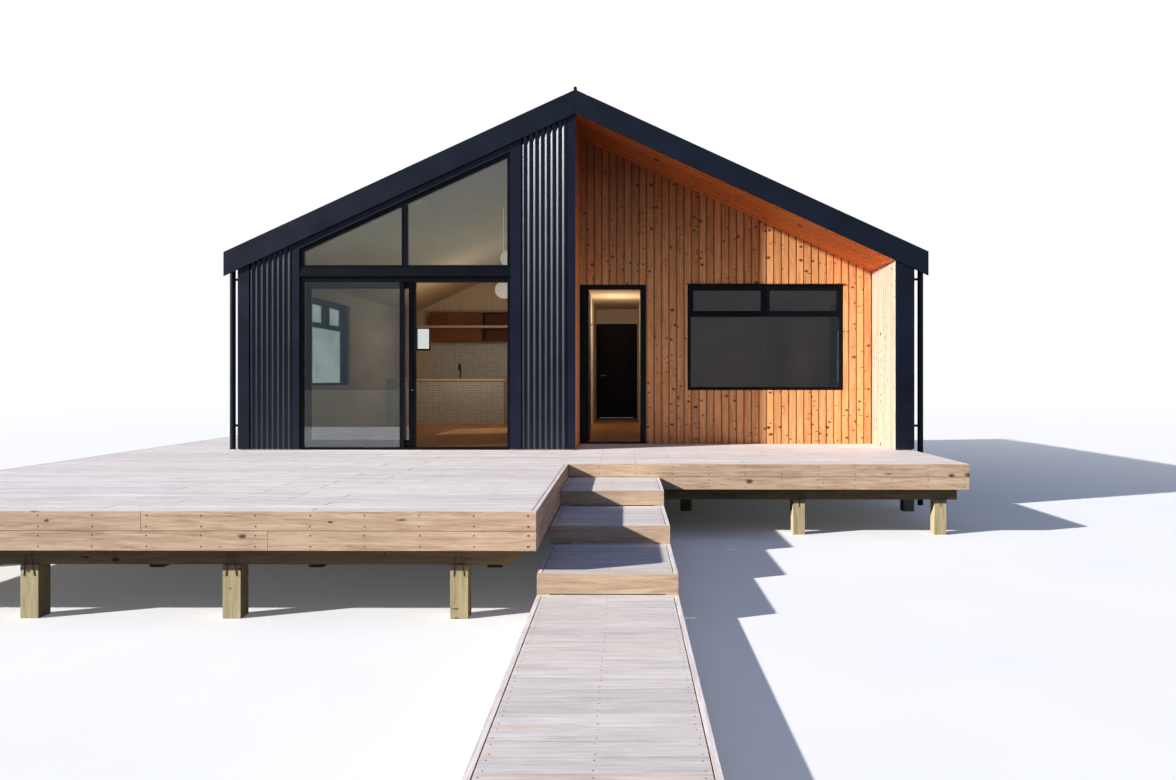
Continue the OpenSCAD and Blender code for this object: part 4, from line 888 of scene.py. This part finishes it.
# Porch lining: upright boards with a proud face and a set-back lap darkened with painted shade, on
# a dark backing
lining = {"pitch": 0.108, "face": 0.091, "joint": 0.003, "set": 0.009, "back": 0.015,
          "thick": 0.02, "edge": 0.0012, "soffit": 0.018, "porchEnd": 4.22, "wallY": 1.05,
          "lapShadeTone": (-1.3, -0.9), "short": 0.03,
          "holes": ((-0.1, 0.0, 0.955, 3.1), (1.56, 1.575, 3.805, 3.098))}


def liningTop(x):
    return roofUnder(x) - lining["soffit"] / lean - hair


# The boards between two places: where each one's face starts, where it ends and the lap's end
def liningRows(start, end):
    count = round((end - start) / lining["pitch"])
    each = (end - start) / count
    share = lining["face"] / lining["pitch"] * each
    lefts = [start + index * each for index in range(count)]
    return [(left + lining["joint"], left + share, left + each) for left in lefts]


# Adds what the holes leave of one strip of a lining wall, between two depths; boxes that reach
# the top of the strip go on up to the soffit
def addLiningStrip(mesh, strip, depths, holes, place, tone):
    for u0, z0, u1, z1 in leftOver(strip, holes):
        near, far = place(u0, depths[0]), place(u1, depths[1])
        low = (min(near[0], far[0]), min(near[1], far[1]), z0)
        high = (max(near[0], far[0]), max(near[1], far[1]), z1)
        addBox(mesh, low, high, tone, liningTop if z1 > strip[3] - hair else None)


# One wall of lining boards: place turns the run and the depth into x and y
def addLining(mesh, end, holes, place, high):
    for left, faceEnd, lapEnd in liningRows(0, end):
        face = (left, faceEnd, 0.0, random.random())
        # Painted shade: each lap takes a dark tone for the shade in its recess
        lap = (faceEnd, lapEnd, lining["set"], random.uniform(*lining["lapShadeTone"]))
        for start, stop, deep, tone in (face, lap):
            addLiningStrip(mesh, (start, floorZ, stop, high), (deep, lining["back"]), holes, place,
                           tone)
    addLiningStrip(liningDark, (0.0, floorZ, end, high), (lining["back"], lining["thick"]), holes,
                   place, 0.5)


liningBoards = bmesh.new()
revealBoards = bmesh.new()
liningDark = bmesh.new()
innerTop = roofUnder(0) - lining["short"]
outerTop = roofUnder(lining["porchEnd"]) - lining["short"]
addLining(liningBoards, lining["porchEnd"], lining["holes"],
          lambda u, deep: (u, lining["wallY"] + deep), outerTop)
addLining(liningBoards, lining["wallY"], (), lambda u, deep: (-deep, u), innerTop)
addLining(revealBoards, lining["wallY"], (), lambda u, deep: (lining["porchEnd"] + deep, u),
          outerTop)
softenEdges(liningBoards, lining["edge"])
softenEdges(revealBoards, lining["edge"])
addPiece("liningBoards", liningBoards, liningWood, replaced=["porch_lining"])
addPiece("revealBoards", revealBoards, litRevealWood)
addPiece("liningBacking", liningDark, trimSteel)

# Porch soffit: boards up the slope, made flat and turned with the roof
soffit = {"start": 0.0085, "end": (lining["porchEnd"] - hair) / lean, "back": 1.07,
          "face": -0.018, "lap": -0.01, "backing": -0.004, "seat": 0.0005, "lapShadeTone": -2.5}
soffitBoards = bmesh.new()
soffitBack = bmesh.new()
turn = Matrix.Rotation(house["pitch"], 3, "Y")


def addSoffitBox(mesh, y0, y1, low, high, tone):
    made = addBox(mesh, (soffit["start"], y0, low), (soffit["end"], y1, high), tone)
    bmesh.ops.rotate(mesh, verts=made, cent=(0, 0, 0), matrix=turn)
    bmesh.ops.translate(mesh, verts=made, vec=(0, 0, roofUnder(0) - soffit["seat"]))


for left, faceEnd, lapEnd in liningRows(-house["verge"], soffit["back"]):
    addSoffitBox(soffitBoards, left, faceEnd, soffit["face"], soffit["backing"], random.random())
    # The set-back laps take a dark tone: painted shade
    addSoffitBox(soffitBoards, faceEnd, lapEnd, soffit["lap"], soffit["backing"], soffit["lapShadeTone"])
softenEdges(soffitBoards, lining["edge"])
addSoffitBox(soffitBack, -house["verge"], soffit["back"], soffit["backing"], 0.0, 0.5)
addPiece("soffitBoards", soffitBoards, shadedSoffitWood, replaced=["porch_soffit"])
addPiece("soffitBacking", soffitBack, trimSteel)

# Two downlights let into the soffit; ring and lens as cone measures
downlights = {"places": ((1.085, 0.39), (3.045, 0.39)), "ring": (40, 0.04, 0.044, 0.006),
              "lens": (32, 0.018, 0.02, 0.003), "lensOut": 0.0025}
lampRings = bmesh.new()
lampLenses = bmesh.new()
ringPlaces = [Matrix.Translation((x, y, liningTop(x))) @ Matrix.Rotation(house["pitch"], 4, "Y")
              for x, y in downlights["places"]]
lensShift = Matrix.Translation((0, 0, -downlights["lensOut"]))
addCones(lampRings, ringPlaces, *downlights["ring"])
addCones(lampLenses, [place @ lensShift for place in ringPlaces], *downlights["lens"])
addPiece("lampRings", lampRings, joinery)
addPiece("lampLenses", lampLenses, darkLens)
print("porch lined")

# Cupboard doors over the kitchen carcases
fronts = {"x0": -3.815, "x1": -2.625, "doors": 3, "front": 8.11, "thick": 0.018, "gap": 0.004,
          "row": 0.31, "shelf": 0.05, "drop": 0.229, "clear": 0.003, "edge": 0.0015}
cupboardDoors = bmesh.new()
wide = (fronts["x1"] - fronts["x0"]) / fronts["doors"]
lowest = roofUnder(fronts["x0"]) - fronts["drop"] - 2 * fronts["row"] - fronts["shelf"]
for level in (0, 1):
    foot = lowest + level * (fronts["row"] + fronts["shelf"])
    for index in range(fronts["doors"]):
        start = fronts["x0"] + index * wide
        low = (start + fronts["gap"] / 2, fronts["front"] - fronts["thick"],
               foot + fronts["clear"])
        high = (start + wide - fronts["gap"] / 2, fronts["front"],
                foot + fronts["row"] - fronts["clear"])
        addBox(cupboardDoors, low, high)
softenEdges(cupboardDoors, fronts["edge"])
addPiece("cupboardDoors", cupboardDoors, cupboardWood)

# Pale top over the tiled bench
bench = {"over": 0.002, "thick": 0.041, "up": 0.0015, "edge": 0.003, "tone": 0.4}
benchLow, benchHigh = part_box("kitchen_bench")
benchTop = bmesh.new()
addBox(benchTop,
       (benchLow[0] + hair, benchLow[1] - bench["over"], benchHigh[2] - bench["thick"]),
       (benchHigh[0] + bench["over"], benchHigh[1] + bench["over"], benchHigh[2] + bench["up"]),
       bench["tone"])
softenEdges(benchTop, bench["edge"])
addPiece("benchTop", benchTop, shelfWood)

# Wire dogs that tie each deck post to its bearer, two to a post and leaning apart
ties = {"radius": 0.0025, "length": 0.16, "joint": 0.388, "half": 0.065, "lean": 0.12,
        "pair": ((-0.03, 1), (0.028, -1)),
        "rows": ((-4.95, (-0.545, -2.195, -3.665, -5.24)), (-1.65, (4.205, 2.63, 1.055)))}
tieWires = bmesh.new()
tiePlaces = []
for rowY, places in ties["rows"]:
    for x in places:
        for shift, way in ties["pair"]:
            spot = (x + shift, rowY - ties["half"] - ties["radius"], ties["joint"])
            tiePlaces.append(Matrix.Translation(spot) @ Matrix.Rotation(way * ties["lean"], 4, "Y"))
addCones(tieWires, tiePlaces, 8, ties["radius"], ties["radius"], ties["length"])
addPiece("tieWires", tieWires, galvanised)

# Bright lock on the sliding leaf under its pull
lock = {"down": 0.09, "in": 0.004, "cone": (32, 0.012, 0.01, 0.008)}
leafLock = bmesh.new()
pullLow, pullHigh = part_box("sliding_door_pull")
lockSpot = ((pullLow[0] + pullHigh[0]) / 2, pullHigh[1] - lock["in"], pullLow[2] - lock["down"])
addCones(leafLock, [Matrix.Translation(lockSpot) @ facingFront], *lock["cone"])
addPiece("leafLock", leafLock, leverSteel, body="sliding_leaf")
print("fittings made")

# Floor: white to the camera and fading into the backdrop, dark to all other rays
studio = {
    "size": 120, "drop": 0.001, "fade": 0.02, "fadeSoft": 0.2, "roughness": 0.9,
    "paint": ((0.3, (0.93, 0.93, 0.94, 1)), (0.7, (0.97, 0.97, 0.98, 1))),
    "toOtherRays": (0.11, 0.105, 0.095, 1),
}
floorMesh = bmesh.new()
bmesh.ops.create_grid(floorMesh, x_segments=1, y_segments=1, size=studio["size"])
studioFloor = newObject("studioFloor", finished("studioFloor", floorMesh))
studioFloor.location = (0, 0, -studio["drop"])
floorPaint, floorTree, floorSurface = newMaterial("studioFloorPaint")
floorPlace = objectPlace(floorTree)
cameraRay = put(floorTree, "LightPath")["Is Camera Ray"]
floorSeen = ramp(floorTree, noise(floorTree, floorPlace, 0.8)["Fac"], studio["paint"])
floorShade = blendColours(floorTree, cameraRay, studio["toOtherRays"], floorSeen)
feed(floorTree, floorSurface, {"Base Color": floorShade, "Roughness": studio["roughness"]})
glow = put(floorTree, "Emission", {"Color": (1, 1, 1, 1), "Strength": 1.0})
far = put(floorTree, "VectorMath", {0: floorPlace}, operation="LENGTH")["Value"]
fade = mathNode(floorTree, "SMOOTH_MIN", 1.0, times(floorTree, far, studio["fade"]),
                studio["fadeSoft"])
fade = times(floorTree, fade, cameraRay)
mixAtOutput(floorTree, fade, floorSurface.outputs, glow)
studioFloor.data.materials.append(floorPaint)

# Surroundings: white to the camera, a dim sky as light, and their own colours in mirrors,
# where a paler wall behind the house shows its back and roof
skyLook = {
    "mirrored": ((0.0, (0.1, 0.115, 0.14, 1)), (0.1, (0.13, 0.15, 0.17, 1)),
                 (0.16, (0.5, 0.56, 0.48, 1)), (0.3, (0.34, 0.42, 0.55, 1)),
                 (0.9, (0.1, 0.17, 0.3, 1))),
    "paler": ((0.0, (0.42, 0.47, 0.55, 1)), (0.3, (0.55, 0.6, 0.7, 1)),
              (0.9, (0.2, 0.28, 0.42, 1))),
    "soft": ((0.0, (0.06, 0.07, 0.09, 1)), (0.3, (0.08, 0.105, 0.17, 1)),
             (1.0, (0.13, 0.19, 0.37, 1))),
    "behind": ((0.05, 0.0), (0.4, 1.0)),
}
world = bpy.data.worlds.new("studioWorld")
bpy.context.scene.world = world
world.use_nodes = True
worldTree = world.node_tree
rays = put(worldTree, "LightPath")
skyWay = parted(worldTree, put(worldTree, "TexCoord")["Generated"])
mirrored = ramp(worldTree, skyWay["Z"], skyLook["mirrored"])
paler = ramp(worldTree, skyWay["Z"], skyLook["paler"])
behind = greyRamp(worldTree, skyWay["Y"], skyLook["behind"])
mirrored = blendColours(worldTree, behind, mirrored, paler)
soft = ramp(worldTree, skyWay["Z"], skyLook["soft"])
shadeSide = blendColours(worldTree, rays["Is Glossy Ray"], soft, mirrored)
skyColour = blendColours(worldTree, rays["Is Camera Ray"], shadeSide, (1.0, 1.0, 1.0, 1))
feed(worldTree, worldTree.nodes["Background"], {"Color": skyColour})

# Low sun from the left, and lamps that lift the rooms as their own lights do
sunLook = {"power": 6.8, "angle": math.radians(1), "colour": (1.0, 0.97, 0.92),
           "way": (2.5, 1.0, -1.2)}
sunData = bpy.data.lights.new("sun", "SUN")
sunData.energy = sunLook["power"]
sunData.angle = sunLook["angle"]
sunData.color = sunLook["colour"]
sun = newObject("sun", sunData)
sun.rotation_euler = Vector(sunLook["way"]).to_track_quat("-Z", "Y").to_euler()
lamps = {
    "size": 0.4, "colour": (1.0, 0.94, 0.85),
    "places": (("livingLamp", (-2.3, 3.4, 2.6), 6), ("kitchenLamp", (-2.4, 5.6, 2.9), 44),
               ("hallLamp", (0.5, 5.4, 2.9), 40), ("roomLamp", (2.6, 5.0, 2.5), 3)),
}
for name, place, power in lamps["places"]:
    lampData = bpy.data.lights.new(name, "POINT")
    lampData.energy = power
    lampData.shadow_soft_size = lamps["size"]
    lampData.color = lamps["colour"]
    lamp = newObject(name, lampData)
    lamp.location = place
    lamp.visible_glossy = False
    lamp.visible_transmission = False

# Camera: focal length, picture width and picture centre in the photo's pixels
view = {"place": (0.655, -11.07, 1.735), "focal": 838, "width": 1176, "yaw": math.radians(0.3),
        "centreX": 37, "centreY": 11, "sensor": 36, "clipEnd": 400}
cameraData = bpy.data.cameras.new("mainCamera")
cameraData.sensor_width = view["sensor"]
cameraData.lens = view["sensor"] * view["focal"] / view["width"]
cameraData.shift_x = -(view["centreX"] - view["focal"] * math.tan(view["yaw"])) / view["width"]
cameraData.shift_y = -view["centreY"] / view["width"]
cameraData.clip_end = view["clipEnd"]
camera = newObject("mainCamera", cameraData)
camera.location = view["place"]
camera.rotation_euler = (math.radians(90), 0, view["yaw"])
bpy.context.scene.camera = camera
bpy.context.scene.view_settings.view_transform = "Standard"

print("scene ready")
